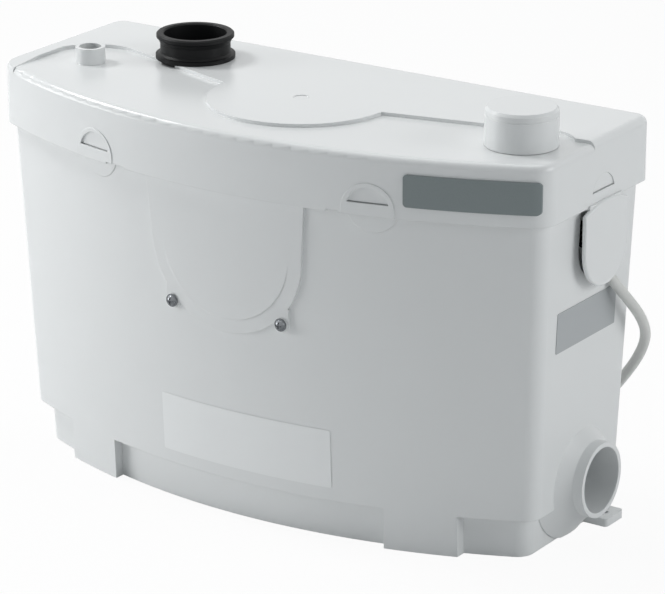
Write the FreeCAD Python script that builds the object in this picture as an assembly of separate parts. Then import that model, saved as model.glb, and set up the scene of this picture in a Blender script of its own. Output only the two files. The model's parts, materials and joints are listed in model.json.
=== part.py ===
import FreeCAD, Part
import math
import os

# Sewage lifting station: a bow-fronted tank with a snap-on lid, a macerating pump with its motor,
# a check valve, a float-free level switch, a side inlet with a flap and a supply cord.
# X runs along the length, the bowed front faces -Y, Z is up.
# The origin is the middle of the tank's underside.

V = FreeCAD.Vector

# Lid
LID_LENGTH = 422.0
LID_DEPTH = 180.0
FRONT_REACH = 88.75
FRONT_BOW = 51.5
TOP_Z = 270.0
LID_RIM = 42.0
LID_WALL = 2.8
DECK_STEP = 2.2
LID_BACK_CORNER = 10.0
LID_FRONT_CORNER = 16.0
LID_EDGE_ROUND = 4.5
LOW_DECK_MARGIN = 14.0
LOW_DECK_RIGHT_Y = 19.5
LOW_DECK_STEP_Y = (-9.5, -6.5)
LOW_DECK_VENT_ARC = (120, 79)
LOW_DECK_CAP_ARC = (138, 90, 43)
STRIP_SLOPE_Y = (-16.0, -42.0)
DISC_X = 5.0
DISC_Y = -1.5
DISC_RADIUS = 61.3
GATE_RADIUS = 5.0
GATE_DEPTH = 0.4
RIM_NOTCHES = ((-94.0, -77.0), (78.0, 86.0))
RIM_NOTCH_HEIGHT = 1.2

# Tank
SIDE_INSET = 4.5
SIDE_DRAFT = 8.7
FRONT_INSET = 5.25
FRONT_DRAFT = 12.0
BACK_INSET = 6.5
BACK_DRAFT = 6.0
TANK_BACK_CORNER = 6.0
TANK_FRONT_CORNER = 12.0
TANK_WALL = 3.5
TANK_TOP = 260.0
PLINTH_HEIGHT = 28.0
PLINTH_INSET = 7.3
PLINTH_FRONT_CORNER = 12.0
FOOT_NEAR = 107.0
FOOT_FAR = 153.5

# Pad on the front, its inner shield and its two screws
PAD_PROUD = 1.8
PAD_RADIUS = 58.0
PAD_TOP_HALF = 61.4
PAD_CENTRE_Z = 190.0
PAD_TOP_Z = 232.0
SHIELD_RADIUS = 48.5
SHIELD_PROUD = 1.2
SHIELD_SINK = 0.1
SCREW_X = 42.4
SCREW_Z = 145.3
EAR_RADIUS = 5.4
SCREW_SHANK = 4.0
SCREW_LENGTH = 15.0
SCREW_HEAD_RADIUS = 3.6
SCREW_HEAD_HEIGHT = 2.4
SCREW_BOSS_DEPTH = 6.0
CROSS_ARM_SHARE = 0.62
CROSS_BAR_SHARE = 0.16
CROSS_DEPTH_SHARE = 0.55
WASHER_RADIUS = 4.3
WASHER_THICKNESS = 0.8
NUT_WIDTH = 7.0
NUT_HEIGHT = 3.2

# Snap windows in the lid's rim and the catches under them
WINDOW_FROM_END = 105.5
WINDOW_Z = 236.6
WINDOW_HALF = 13.3
WINDOW_HEIGHT = 10.0
WINDOW_DEPTH = 0.8
WINDOW_SLOT = 0.6
WINDOW_PAD_RADIUS = 17.0
WINDOW_PAD_PROUD = 0.5
CATCH_RADIUS = 16.5
CATCH_PROUD = 0.5

# Side inlet spigot: its places are measured from the spigot's open end
INLET_FROM_BACK = 60.75
INLET_Z = 41.6
INLET_PROUD = 4.0
INLET_STRAIGHT = 7.0
INLET_FLARE_MID = 15.6
INLET_ROOT = 23.1
INLET_LENGTH = 31.0
INLET_RADIUS = 25.0
INLET_BORE = 21.8
INLET_MID_RADIUS = 33.5
INLET_ROOT_RADIUS = 43.0
INLET_ROOT_BACK = 2.4
INLET_COLLAR_RADIUS = 27.0

# Flap behind the side inlet
FLAP_RADIUS = 24.5
FLAP_THICKNESS = 2.5
FLAP_PIN_RADIUS = 1.5
FLAP_PIN_Z = 73.0
FLAP_HALF_WIDTH = 9.0
FLAP_STRAP_START = 12.0
FLAP_KNUCKLE = 3.0
FLAP_EAR = 4.0

# Fixing lugs
LUG_FROM_BACK = 29.25
LUG_WIDTH = 22.0
LUG_END_INSET = 3.0
LUG_HOLE_INSET = 11.0
LUG_THICKNESS = 5.4
LUG_HOLE_RADIUS = 2.75

# Cable niche in the right-hand wall and the tongue that hangs in front of it
NICHE_FROM_BACK = 58.25
NICHE_HALF = 22.0
NICHE_BOTTOM_Z = 178.0
NICHE_TOP_Z = 232.0
NICHE_DEPTH = 23.0
NICHE_WALL = 2.5
TONGUE_SHIFT = 0.7
TONGUE_HALF = 26.8
TONGUE_BOTTOM_Z = 173.0
TONGUE_TOP_Z = 229.8
TONGUE_THICKNESS = 2.5
TONGUE_EDGE_SHARE = 0.6
TONGUE_ROOT_SHARE = 0.75
TONGUE_ROOT_OVERLAP = 1.5

# Vent stub and its filter
VENT_FROM_END = 47.6
VENT_FROM_BACK = 95.0
VENT_RADIUS = 10.0
VENT_BORE = 7.4
VENT_HEIGHT = 10.8
VENT_CLEAR_RADIUS = 36.0
FILTER_RADIUS = 17.2
FILTER_HEIGHT = 12.0
CUP_WALL = 2.0
CUP_LIP = 3.0
CUP_LIP_HEIGHT = 1.5

# Capped inlet spout
CAP_FROM_END = 38.0
CAP_FROM_BACK = 97.45
CAP_RADIUS = 23.3
CAP_FACE_RADIUS = 21.5
CAP_HEIGHT = 25.0
CAP_TOP_WALL = 2.4
CAP_BEAD = 0.4
CAP_SHOULDER_SHARE = 2.6
SPOUT_RADIUS = 21.0
SPOUT_BORE = 18.0
SPOUT_HEIGHT = 18.0
SPOUT_DROP = 25.0
CAP_CLEAR_RADIUS = 34.0
O_RING_SECTION = 1.8
O_RING_GROOVE_SHARE = 0.6

# Rubber discharge sleeve
SLEEVE_X = -108.5
SLEEVE_FROM_BACK = 51.75
SLEEVE_BORE = 21.0
SLEEVE_NECK = 23.5
SLEEVE_FLANGE = 26.0
SLEEVE_FOOT_EDGE = 0.6
SLEEVE_FOOT_HEIGHT = 2.6
SLEEVE_HEIGHT = 17.1
SLEEVE_FLANGE_HEIGHT = 3.8
SLEEVE_ROUNDING = 0.9
SLEEVE_DROP = 20.0
SLEEVE_GRIP_HEIGHT = 2.5
SLEEVE_LIP_BORE = 18.5
SLEEVE_LIP = 3.0
SLEEVE_NECK_FLARE = 1.2
SLEEVE_NECK_RISE = (0.5, 3.0, 1.6, 0.4)

# Bare plates and labels
NAMEPLATE_FROM_END = (83.0, 3.5)
NAMEPLATE_Z = (236.5, 257.5)
NAMEPLATE_THICKNESS = 1.0
NAMEPLATE_CORNER = 2.5
FRONT_LABEL_X = (-57.5, 73.0)
FRONT_LABEL_Z = (37.0, 77.0)
FRONT_LABEL_CORNER = 1.5
RATING_LABEL_FROM_BACK = (102.25, 29.25)
RATING_LABEL_Z = (137.0, 164.0)
RATING_LABEL_CORNER = 1.0
LABEL_THICKNESS = 0.36
GLUE_GAP = 0.12

# Pump and motor
PUMP_X = 5.0
PUMP_FROM_BACK = 96.25
SUCTION_COVER_Z = 32.0
SUCTION_COVER_THICKNESS = 4.0
CUTTER_RING_HEIGHT = 22.0
CUTTER_RING_FLOOR = 2.0
VOLUTE_HEIGHT = 36.0
VOLUTE_TOP_WALL = 5.0
VOLUTE_CHAMBER = 57.0
VOLUTE_WALL = 4.0
EYE_RADIUS = 20.0
IMPELLER_RADIUS = 48.0
IMPELLER_VANES = 5
IMPELLER_VANE_WALL = 3.0
IMPELLER_LIFT = 1.5
IMPELLER_DISC_START = 22.0
IMPELLER_DISC = 3.0
IMPELLER_HUB_RADIUS = 12.0
IMPELLER_HUB_START = 6.0
IMPELLER_HUB_TOP = 28.0
IMPELLER_VANE_CURVE = 0.7
IMPELLER_VANE_CENTRE = (0.45, 0.8)
CUTTER_HUB_RADIUS = 8.0
CUTTER_HUB_START = 8.0
CUTTER_ARM_START = 10.0
CUTTER_ARM_HALF = 7.0
CUTTER_ARM_THICKNESS = 4.0
CUTTER_TIP_HEIGHT = 7.0
CUTTER_TIP_GAP = 2.0
CUTTER_TIP_START = 6.0
CUTTER_TIP_END = 1.0
CUTTER_RING_RADIUS = 44.0
CUTTER_RING_WALL = 3.0
CUTTER_SLOTS = 20
CUTTER_SLOT_HALF = 2.2
SHAFT_NUT_WIDTH = 15.0
SHAFT_NUT_START = 3.5
SHAFT_END_START = 4.5
MOTOR_FLANGE_HEIGHT = 18.0
MOTOR_RADIUS = 56.0
MOTOR_CAN_WALL = 2.5
MOTOR_CAN_HEIGHT = 121.0
END_CAP_PLATE = 7.0
END_CAP_DOME = 8.0
END_CAP_STEP = 14.0
STATOR_BORE = 30.0
STATOR_HEIGHT = 55.0
STATOR_START = 26.0
STATOR_SLOTS = 18
STATOR_SLOT_HALF = 2.0
STATOR_SLOT_START = 3.0
STATOR_SLOT_DEPTH = 12.0
STATOR_MOUTH_HALF = 0.8
AIR_GAP = 0.4
WINDING_HEIGHT = 13.0
WINDING_WIDTH = 16.0
WINDING_ROUND = 4.0
SHAFT_RADIUS = 7.5
SHAFT_END_RADIUS = 5.0
SHAFT_CLEARANCE = 1.5
BEARING_RADIUS = 17.5
BEARING_HEIGHT = 11.0
BEARING_BOSS_WALL = 3.5
BEARING_GROOVE = (14.5, 10.5)
BEARING_GROOVE_DEPTH = 1.5
SEAL_RADIUS = 15.0
SEAL_HEIGHT = 6.0
BOLT_CIRCLE = 64.5
BOLT_ANGLE = 20.0
BOLT_RADIUS = 2.5
BOLT_HOLE = 2.75
BOLT_EAR = 6.5
BOLT_NUT_WIDTH = 8.0
BOLT_HEAD = 3.5
BOLT_NUT = 4.0
BOLT_END = 6.0
PUMP_FOOT_RADIUS = 8.0
PUMP_FOOT_CIRCLE = 52.3
PUMP_FOOT_DEGREES = (45, 135, 225, 315)

# Discharge line
OUTLET_RADIUS = 17.0
OUTLET_BORE = 14.0
OUTLET_END_X = -75.0
HOSE_WALL = 3.5
HOSE_BEND = 27.5
HOSE_GRIP = 15.0
HOSE_TOP_Z = 100.0
CLAMP_WIDTH = 9.0
CLAMP_THICKNESS = 1.5
CLAMP_HOUSING_HALF = 7.0
CLAMP_HOUSING_HEIGHT = 5.0
VALVE_Z = 108.0
VALVE_RADIUS = 27.0
VALVE_CHAMBER = 24.0
VALVE_RIM = 3.0
VALVE_RIM_HEIGHT = 4.0
VALVE_SEAT = 4.0
VALVE_JOINT_Z = 130.0
VALVE_TOP_Z = 158.0
VALVE_TOP_WALL = 4.0
VALVE_SOCKET_TOP_Z = 178.0
VALVE_SOCKET_WALL = 3.2
VALVE_FLAP_RADIUS = 18.0
VALVE_FLAP_THICKNESS = 2.5
VALVE_STRAP = (0.6, 4.0)
VALVE_STRAP_REACH = 11.0
VALVE_PIN_OFFSET = 21.0
VALVE_PIN_RADIUS = 1.25
VALVE_KNUCKLE_WALL = 1.3
VALVE_PIN_Z = 116.0
RISER_RADIUS = 20.0
RISER_BORE = 17.0
RISER_SEAT = 2.0

# Level switch
SWITCH_X = 89.0
PRESSURE_TUBE_RADIUS = 15.0
PRESSURE_TUBE_BORE = 12.5
PRESSURE_TUBE_Z = 12.0
HOUSING_Z = 150.0
HOUSING_RADIUS = 32.0
HOUSING_HEIGHT = 8.0
HOUSING_WALL = 4.0
HOUSING_FLOOR = 3.0
HOUSING_NECK_WALL = 3.0
HOUSING_NECK = 12.0
MEMBRANE_THICKNESS = 1.2
MEMBRANE_EDGE = 0.5
SWITCH_PLATE_HEIGHT = 14.8
PLUNGER_RADIUS = 4.0
PLUNGER_HEAD = 10.0
PLUNGER_HEAD_HEIGHT = 2.0
PLUNGER_RISE = 4.0
PLUNGER_TRAVEL = 2.4
SPRING_WIRE = 0.6
SPRING_TURNS = 4
SPRING_SPACE = 2.4
SPRING_END_GAP = 0.05

# Electrics box: it stands in front of the tank's back wall
BOX_X = (62.0, 150.0)
BOX_FROM_BACK = 17.25
BOX_DEPTH = 58.5
BOX_HEIGHT = 72.0
BOX_WALL = 2.0
BOX_COVER = 3.0
BRACKET_WIDTH = 4.0
BRACKET_HEIGHT = 10.0
BRACKET_LAP = 6.0
BRACKET_LONG_LAP = 18.0
BRACKET_END = 12.0
CAPACITOR_X = 126.0
CAPACITOR_RADIUS = 15.0
CAPACITOR_HEIGHT = 58.0
CAPACITOR_FROM_WALL = 10.0
MICROSWITCH_HALF = (14.0, 5.0)
MICROSWITCH_HEIGHT = 15.5
MICROSWITCH_BUTTON = 1.8
MICROSWITCH_POST = 11.0
TAB_THICKNESS = 0.8
TAB_WIDTH = 6.0
TAB_LENGTH = 7.0
TERMINAL_COUNT = 4
TERMINAL_PITCH = 9.0
TERMINAL_DEPTH = 13.0
TERMINAL_HEIGHT = 14.0
TERMINAL_FROM_WALL = (10.0, 4.0)
TERMINAL_HOLE_DEPTH = 6.0
TERMINAL_SLOT_DEPTH = 5.0
TERMINAL_SLOT = 1.0
INNER_LEAD_Z = 217.0
INNER_LEAD_INSET = 10.5

# Supply cord: its places are measured from the lid's rear right corner
CORD_DIAMETER = 7.0
CORD_ARC_SHARE = 0.45
COIL_FROM_CORNER = (-171.0, 62.15)
COIL_OUTER = 48.0
COIL_STEP = 8.7
COIL_TURNS_IN = 2.25
COIL_LIFT = 8.4
COIL_CLIMB_TURNS = 0.5
COIL_FLOOR_GAP = 0.9
BOOT_LENGTH = 24.0
BOOT_WALLS = (1.4, 0.5)
PLUG_RADIUS = 18.0
PLUG_LENGTH = 40.0
PLUG_CONE = 12.0
PLUG_BOOT = 22.0
PLUG_BOOT_WALL = (0.8, 2.5)
PLUG_CONE_STEP = (4.0, 1.0)
PLUG_PIN_RADIUS = 2.4
PLUG_PIN_LENGTH = 19.0
PLUG_PIN_SPACING = 19.0

# Clearances
RUNNING_FIT = 0.06
LOOSE_FIT = 0.4
SEAT_GAP = 0.3

# How far a cutting shape runs past the face that it cuts
OVERSHOOT = 5.0

# Sizes that follow from the ones above
RIM_Z = TOP_Z - LID_RIM
LOW_DECK_Z = TOP_Z - DECK_STEP
LID_UNDER_Z = LOW_DECK_Z - LID_WALL
HALF_LENGTH = LID_LENGTH / 2
BACK_REACH = LID_DEPTH - FRONT_REACH
CORNER_Y = FRONT_BOW - FRONT_REACH
BOW_RADIUS = (HALF_LENGTH ** 2 + FRONT_BOW ** 2) / (2 * FRONT_BOW)
BOW_Y = BOW_RADIUS - FRONT_REACH
VENT_X = VENT_FROM_END - HALF_LENGTH
VENT_Y = BACK_REACH - VENT_FROM_BACK
CAP_X = HALF_LENGTH - CAP_FROM_END
CAP_Y = BACK_REACH - CAP_FROM_BACK
SLEEVE_Y = BACK_REACH - SLEEVE_FROM_BACK
PUMP_Y = BACK_REACH - PUMP_FROM_BACK
WINDOW_X = HALF_LENGTH - WINDOW_FROM_END
NAMEPLATE_X = (HALF_LENGTH - NAMEPLATE_FROM_END[0], HALF_LENGTH - NAMEPLATE_FROM_END[1])
RATING_LABEL_Y = (BACK_REACH - RATING_LABEL_FROM_BACK[0], BACK_REACH - RATING_LABEL_FROM_BACK[1])
INLET_Y = BACK_REACH - INLET_FROM_BACK
INLET_END_X = HALF_LENGTH + INLET_PROUD
INLET_SEAT_X = INLET_END_X - INLET_LENGTH
LUG_Y = BACK_REACH - LUG_FROM_BACK
LUG_REACH = HALF_LENGTH - LUG_END_INSET
LUG_HOLE_X = HALF_LENGTH - LUG_HOLE_INSET
NICHE_Y = BACK_REACH - NICHE_FROM_BACK
NICHE_FLOOR_X = HALF_LENGTH - NICHE_DEPTH
TONGUE_X = HALF_LENGTH
TONGUE_Y = NICHE_Y - TONGUE_SHIFT
INNER_LEDGE_Z = PLINTH_HEIGHT + TANK_WALL
CUTTER_RING_Z = SUCTION_COVER_Z - CUTTER_RING_HEIGHT
VOLUTE_Z = SUCTION_COVER_Z + SUCTION_COVER_THICKNESS
OUTLET_Z = VOLUTE_Z + VOLUTE_HEIGHT / 2
FLANGE_Z = VOLUTE_Z + VOLUTE_HEIGHT
CAN_Z = FLANGE_Z + MOTOR_FLANGE_HEIGHT
CAN_TOP_Z = CAN_Z + MOTOR_CAN_HEIGHT
STATOR_Z = CAN_Z + STATOR_START
VOLUTE_RADIUS = VOLUTE_CHAMBER + VOLUTE_WALL
PUMP_BOTTOM_Z = TANK_WALL
MEMBRANE_Z = HOUSING_Z + HOUSING_HEIGHT
PLATE_Z = MEMBRANE_Z + MEMBRANE_THICKNESS
BOX_Y = (BACK_REACH - BOX_FROM_BACK - BOX_DEPTH, BACK_REACH - BOX_FROM_BACK)
BOX_Z = PLATE_Z + SWITCH_PLATE_HEIGHT
BOX_TOP_Z = BOX_Z + BOX_HEIGHT
SWITCH_Y = BOX_Y[1] - HOUSING_RADIUS
CAPACITOR_Y = BOX_Y[1] - CAPACITOR_RADIUS - BOX_WALL - LOOSE_FIT - CAPACITOR_FROM_WALL
INNER_LEAD_Y = BOX_Y[0] + INNER_LEAD_INSET
STEM_TOP_Z = BOX_Z + PLUNGER_RISE
BUTTON_Z = STEM_TOP_Z + PLUNGER_TRAVEL + SEAT_GAP
CORD_RADIUS = CORD_DIAMETER / 2
COIL_CENTRE = (HALF_LENGTH + COIL_FROM_CORNER[0], BACK_REACH + COIL_FROM_CORNER[1])

# Route of the cord from the gland to the coil, and from the coil to the plug,
# measured along X and Y from the lid's rear right corner
CORD_STEPS = [
    (-13.5, -55.25, 196.0),
    (-8.0, -47.75, 182.5),
    (-2.5, -39.75, 168.0),
    (1.5, -27.25, 153.5),
    (3.6, -13.25, 138.0),
    (0.3, 0.25, 121.0),
    (-9.5, 8.75, 102.5),
    (-23.5, 12.75, 83.0),
    (-39.5, 13.05, 62.5),
    (-56.0, 12.55, 42.5),
    (-73.0, 13.05, 24.5),
    (-91.0, 13.95, 12.5),
    (-110.0, 14.35, 6.8),
    (-130.0, 14.05, 4.8),
    (-150.5, 14.45, 4.3),
    (-171.0, 14.15, 4.4),
]
TAIL_STEPS = [
    (-171.0, 14.15, 12.8),
    (-191.0, 14.15, 13.0),
    (-211.0, 15.55, 13.9),
    (-231.0, 18.75, 15.4),
    (-251.0, 23.35, 17.2),
    (-271.0, 29.25, 18.1),
]
CORD_ROUTE = [(HALF_LENGTH + dx, BACK_REACH + dy, z) for dx, dy, z in CORD_STEPS]
TAIL_ROUTE = [(HALF_LENGTH + dx, BACK_REACH + dy, z) for dx, dy, z in TAIL_STEPS]


def cylinder(radius, z0, z1, x=0.0, y=0.0):
    return Part.makeCylinder(radius, z1 - z0, V(x, y, z0), V(0, 0, 1))


def cylinder_x(radius, x0, x1, y, z):
    return Part.makeCylinder(radius, x1 - x0, V(x0, y, z), V(1, 0, 0))


def cylinder_y(radius, y0, y1, x, z):
    return Part.makeCylinder(radius, y1 - y0, V(x, y0, z), V(0, 1, 0))


def ring(outer, inner, z0, z1, x=0.0, y=0.0):
    return cylinder(outer, z0, z1, x, y).cut(cylinder(inner, z0 - 1, z1 + 1, x, y))


def block(x0, x1, y0, y1, z0, z1):
    return Part.makeBox(x1 - x0, y1 - y0, z1 - z0, V(x0, y0, z0))


def fuse_all(shapes):
    return shapes[0].multiFuse(shapes[1:]).removeSplitter()


def arc_edge(a, b, c):
    return Part.Arc(a, b, c).toShape()


def line_edge(a, b):
    return Part.LineSegment(a, b).toShape()


def hex_prism(width, z0, z1, x, y):
    corner = width / math.sqrt(3)
    points = [V(x + corner * math.cos(math.radians(60 * i)),
                y + corner * math.sin(math.radians(60 * i)), z0) for i in range(7)]
    return Part.Face(Part.makePolygon(points)).extrude(V(0, 0, z1 - z0))


def turn_profile(points, x, y):
    """Solid of revolution about a vertical axis from (radius, z) pairs."""
    corners = [V(r, 0, z) for r, z in points]
    face = Part.Face(Part.makePolygon(corners + corners[:1]))
    solid = face.revolve(V(0, 0, 0), V(0, 0, 1), 360)
    solid.translate(V(x, y, 0))
    return solid


# Bow-fronted plan
def plan_wire(half, y_back, bow_radius, back_corner, front_corner, z, inset):
    """Straight back and sides, bowed front, four rounded corners; inset moves it inwards."""
    half = half - inset
    y_back = y_back - inset
    bow_radius = bow_radius - inset
    rb = max(back_corner - inset, 0.5)
    rf = max(front_corner - inset, 0.5)
    reach = bow_radius - rf
    fx = half - rf
    fy = BOW_Y - math.sqrt(reach * reach - fx * fx)
    tx = fx * bow_radius / reach
    ty = BOW_Y + (fy - BOW_Y) * bow_radius / reach
    start = math.atan2(ty - fy, tx - fx)
    mid = start / 2
    mx = fx + rf * math.cos(mid)
    my = fy + rf * math.sin(mid)
    diag = rb * math.sqrt(0.5)
    bx = half - rb
    by = y_back - rb
    edges = [
        line_edge(V(bx, y_back, z), V(-bx, y_back, z)),
        arc_edge(V(-bx, y_back, z), V(-bx - diag, by + diag, z), V(-half, by, z)),
        line_edge(V(-half, by, z), V(-half, fy, z)),
        arc_edge(V(-half, fy, z), V(-mx, my, z), V(-tx, ty, z)),
        arc_edge(V(-tx, ty, z), V(0, BOW_Y - bow_radius, z), V(tx, ty, z)),
        arc_edge(V(tx, ty, z), V(mx, my, z), V(half, fy, z)),
        line_edge(V(half, fy, z), V(half, by, z)),
        arc_edge(V(half, by, z), V(bx + diag, by + diag, z), V(bx, y_back, z)),
    ]
    return Part.Wire(edges)


def lid_wire(z, inset=0.0):
    return plan_wire(HALF_LENGTH, BACK_REACH, BOW_RADIUS, LID_BACK_CORNER, LID_FRONT_CORNER, z, inset)


def side_x(z):
    """Where the tank's side wall lies at a height."""
    return HALF_LENGTH - SIDE_INSET - SIDE_DRAFT * (RIM_Z - z) / RIM_Z


def back_y(z):
    return BACK_REACH - BACK_INSET - BACK_DRAFT * (RIM_Z - z) / RIM_Z


def front_radius(z):
    return BOW_RADIUS - FRONT_INSET - FRONT_DRAFT * (RIM_Z - z) / RIM_Z


def front_y(x, z):
    """Where the tank's bowed front lies at a place on it."""
    return BOW_Y - math.sqrt(front_radius(z) ** 2 - x * x)


def tank_wire(z, inset=0.0, front_corner=TANK_FRONT_CORNER):
    return plan_wire(side_x(z), back_y(z), front_radius(z), TANK_BACK_CORNER, front_corner, z, inset)


def lid_prism(z0, z1, inset=0.0):
    return Part.Face(lid_wire(z0, inset)).extrude(V(0, 0, z1 - z0))


def tank_loft(z0, z1, inset=0.0, front_corner=TANK_FRONT_CORNER):
    return Part.makeLoft([tank_wire(z0, inset, front_corner), tank_wire(z1, inset, front_corner)], True, True)


def plinth_loft(z0, z1, inset=0.0):
    """Recessed foot of the tank, whose front corners stay round."""
    return tank_loft(z0, z1, PLINTH_INSET + inset, PLINTH_FRONT_CORNER + PLINTH_INSET)


def front_prism(edges_xz, y0, y1):
    """Prism along Y from a closed list of edges drawn at y0."""
    return Part.Face(Part.Wire(edges_xz)).extrude(V(0, y1 - y0, 0))


def rounded_rectangle_y(x_range, z_range, corner, y0, y1):
    solid = block(x_range[0], x_range[1], y0, y1, z_range[0], z_range[1])
    along = [e for e in solid.Edges if abs(e.tangentAt(e.FirstParameter).y) > 0.99]
    return solid.makeFillet(corner, along)


def rounded_rectangle_x(y_range, z_range, corner, x0, x1):
    solid = block(x0, x1, y_range[0], y_range[1], z_range[0], z_range[1])
    along = [e for e in solid.Edges if abs(e.tangentAt(e.FirstParameter).x) > 0.99]
    return solid.makeFillet(corner, along)


# Tank
def pad_outline(y):
    top = V(PAD_TOP_HALF, y, PAD_TOP_Z)
    side = V(PAD_RADIUS, y, PAD_CENTRE_Z)
    low = V(0, y, PAD_CENTRE_Z - PAD_RADIUS)
    far_side = V(-PAD_RADIUS, y, PAD_CENTRE_Z)
    far_top = V(-PAD_TOP_HALF, y, PAD_TOP_Z)
    return [line_edge(top, side), arc_edge(side, low, far_side),
            line_edge(far_side, far_top), line_edge(far_top, top)]


def front_pad():
    """U-shaped pad, its two screw ears and the shield whose lower half stands out."""
    near_y = -FRONT_REACH - 4 * OVERSHOOT
    far_y = CORNER_Y - OVERSHOOT
    body = front_prism(pad_outline(near_y), near_y, far_y)
    for sign in (-1, 1):
        ear = cylinder_y(EAR_RADIUS, near_y, far_y, sign * SCREW_X, SCREW_Z)
        web = block(sign * SCREW_X - EAR_RADIUS, sign * SCREW_X + EAR_RADIUS, near_y, far_y,
                    SCREW_Z, SCREW_Z + 2 * EAR_RADIUS)
        body = body.fuse(ear).fuse(web)
    low_z = PAD_CENTRE_Z - PAD_RADIUS - 2 * PAD_PROUD
    skin = tank_loft(low_z, PAD_TOP_Z, -PAD_PROUD)
    pad = body.common(skin)
    shield_top = PAD_CENTRE_Z + PAD_PROUD
    shield = cylinder_y(SHIELD_RADIUS, near_y, far_y, 0, PAD_CENTRE_Z)
    shield = shield.common(block(-PAD_RADIUS, PAD_RADIUS, near_y, far_y, low_z, shield_top))
    low_wire = tank_wire(low_z, -PAD_PROUD - SHIELD_PROUD)
    upright = Part.makeLoft([low_wire, tank_wire(shield_top, SHIELD_SINK - PAD_PROUD)], True, True)
    return pad.fuse(shield.common(upright))


def screw_seat_y():
    return front_y(SCREW_X, SCREW_Z) - PAD_PROUD - WASHER_THICKNESS


def plinth_recess():
    band = tank_loft(-1, PLINTH_HEIGHT, -OVERSHOOT).cut(plinth_loft(-2, PLINTH_HEIGHT + 1))
    for sign in (-1, 1):
        near, far = sorted((sign * FOOT_NEAR, sign * FOOT_FAR))
        band = band.cut(block(near, far, -LID_DEPTH, LID_DEPTH, -3, PLINTH_HEIGHT + 1))
    return band


def niche_shape(x0, x1, margin):
    """D-shaped prism along X: straight sides and a half-round bottom."""
    radius = NICHE_HALF + margin
    low_z = NICHE_BOTTOM_Z + NICHE_HALF
    body = block(x0, x1, NICHE_Y - radius, NICHE_Y + radius, low_z, NICHE_TOP_Z + margin)
    return body.fuse(cylinder_x(radius, x0, x1, NICHE_Y, low_z)).removeSplitter()


def cord_channel(margin):
    """Groove that lets the cord out over the niche's lower lip; the margin makes its liner."""
    start = V(*CORD_ROUTE[1])
    end = V(*CORD_ROUTE[2])
    along = end - start
    reach = along.Length + 2 * CORD_DIAMETER
    along.normalize()
    return Part.makeCylinder(CORD_RADIUS + LOOSE_FIT + margin, reach, start - along * CORD_RADIUS, along)


def inlet_spigot():
    """Tube whose root widens like a trumpet, drawn about the X axis and moved to its place."""
    root_x = INLET_END_X - INLET_ROOT
    back_x = root_x - INLET_ROOT_BACK
    a = V(INLET_SEAT_X, 0, 0)
    b = V(INLET_SEAT_X, INLET_COLLAR_RADIUS, 0)
    c = V(back_x, INLET_COLLAR_RADIUS, 0)
    d = V(back_x, INLET_ROOT_RADIUS, 0)
    e = V(root_x, INLET_ROOT_RADIUS, 0)
    mid = V(INLET_END_X - INLET_FLARE_MID, INLET_MID_RADIUS, 0)
    f = V(INLET_END_X - INLET_STRAIGHT, INLET_RADIUS, 0)
    g = V(INLET_END_X, INLET_RADIUS, 0)
    h = V(INLET_END_X, 0, 0)
    edges = [line_edge(a, b), line_edge(b, c), line_edge(c, d), line_edge(d, e), arc_edge(e, mid, f),
             line_edge(f, g), line_edge(g, h), line_edge(h, a)]
    solid = Part.Face(Part.Wire(edges)).revolve(V(0, 0, 0), V(1, 0, 0), 360)
    solid.translate(V(0, INLET_Y, INLET_Z))
    reach = 2 * INLET_ROOT_RADIUS
    return solid.cut(block(0, 2 * HALF_LENGTH, INLET_Y - reach, INLET_Y + reach, -reach, 0))


def flap_ears():
    ears = []
    for sign in (-1, 1):
        inner = INLET_Y + sign * (FLAP_HALF_WIDTH + LOOSE_FIT)
        outer = inner + sign * FLAP_EAR
        y0, y1 = sorted((inner, outer))
        ears.append(block(INLET_SEAT_X - FLAP_KNUCKLE, side_x(FLAP_PIN_Z) - TANK_WALL / 2, y0, y1,
                          FLAP_PIN_Z - FLAP_EAR, FLAP_PIN_Z + FLAP_EAR))
    return ears


def fixing_lug(sign):
    root = side_x(0) - PLINTH_INSET - TANK_WALL / 2
    x0, x1 = sorted((sign * root, sign * LUG_REACH))
    lug = block(x0, x1, LUG_Y - LUG_WIDTH / 2, LUG_Y + LUG_WIDTH / 2, 0, LUG_THICKNESS)
    far = [e for e in lug.Edges
           if abs(e.tangentAt(e.FirstParameter).z) > 0.99
           and abs(abs(e.CenterOfMass.x) - LUG_REACH) < 0.1]
    lug = lug.makeFillet(LUG_THICKNESS / 2, far)
    hole = cylinder(LUG_HOLE_RADIUS, -1, LUG_THICKNESS + 1, sign * LUG_HOLE_X, LUG_Y)
    return lug, hole


def box_brackets():
    """Ribs on the back wall that carry the electrics box."""
    wall_y = back_y(BOX_Z) - TANK_WALL / 2
    low_z = BOX_Z - BRACKET_HEIGHT
    right_x = BOX_X[1] - BRACKET_END
    left = block(BOX_X[0], BOX_X[0] + BRACKET_WIDTH, BOX_Y[1] - BRACKET_LAP, wall_y, low_z, BOX_Z)
    right = block(right_x, right_x + BRACKET_WIDTH, BOX_Y[1] - BRACKET_LONG_LAP, wall_y, low_z, BOX_Z)
    return [left, right]


def window_disc(sign, radius):
    return cylinder_y(radius, -FRONT_REACH - OVERSHOOT, -FRONT_REACH + FRONT_BOW / 2,
                      sign * WINDOW_X, WINDOW_Z - WINDOW_HALF / 3)


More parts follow.
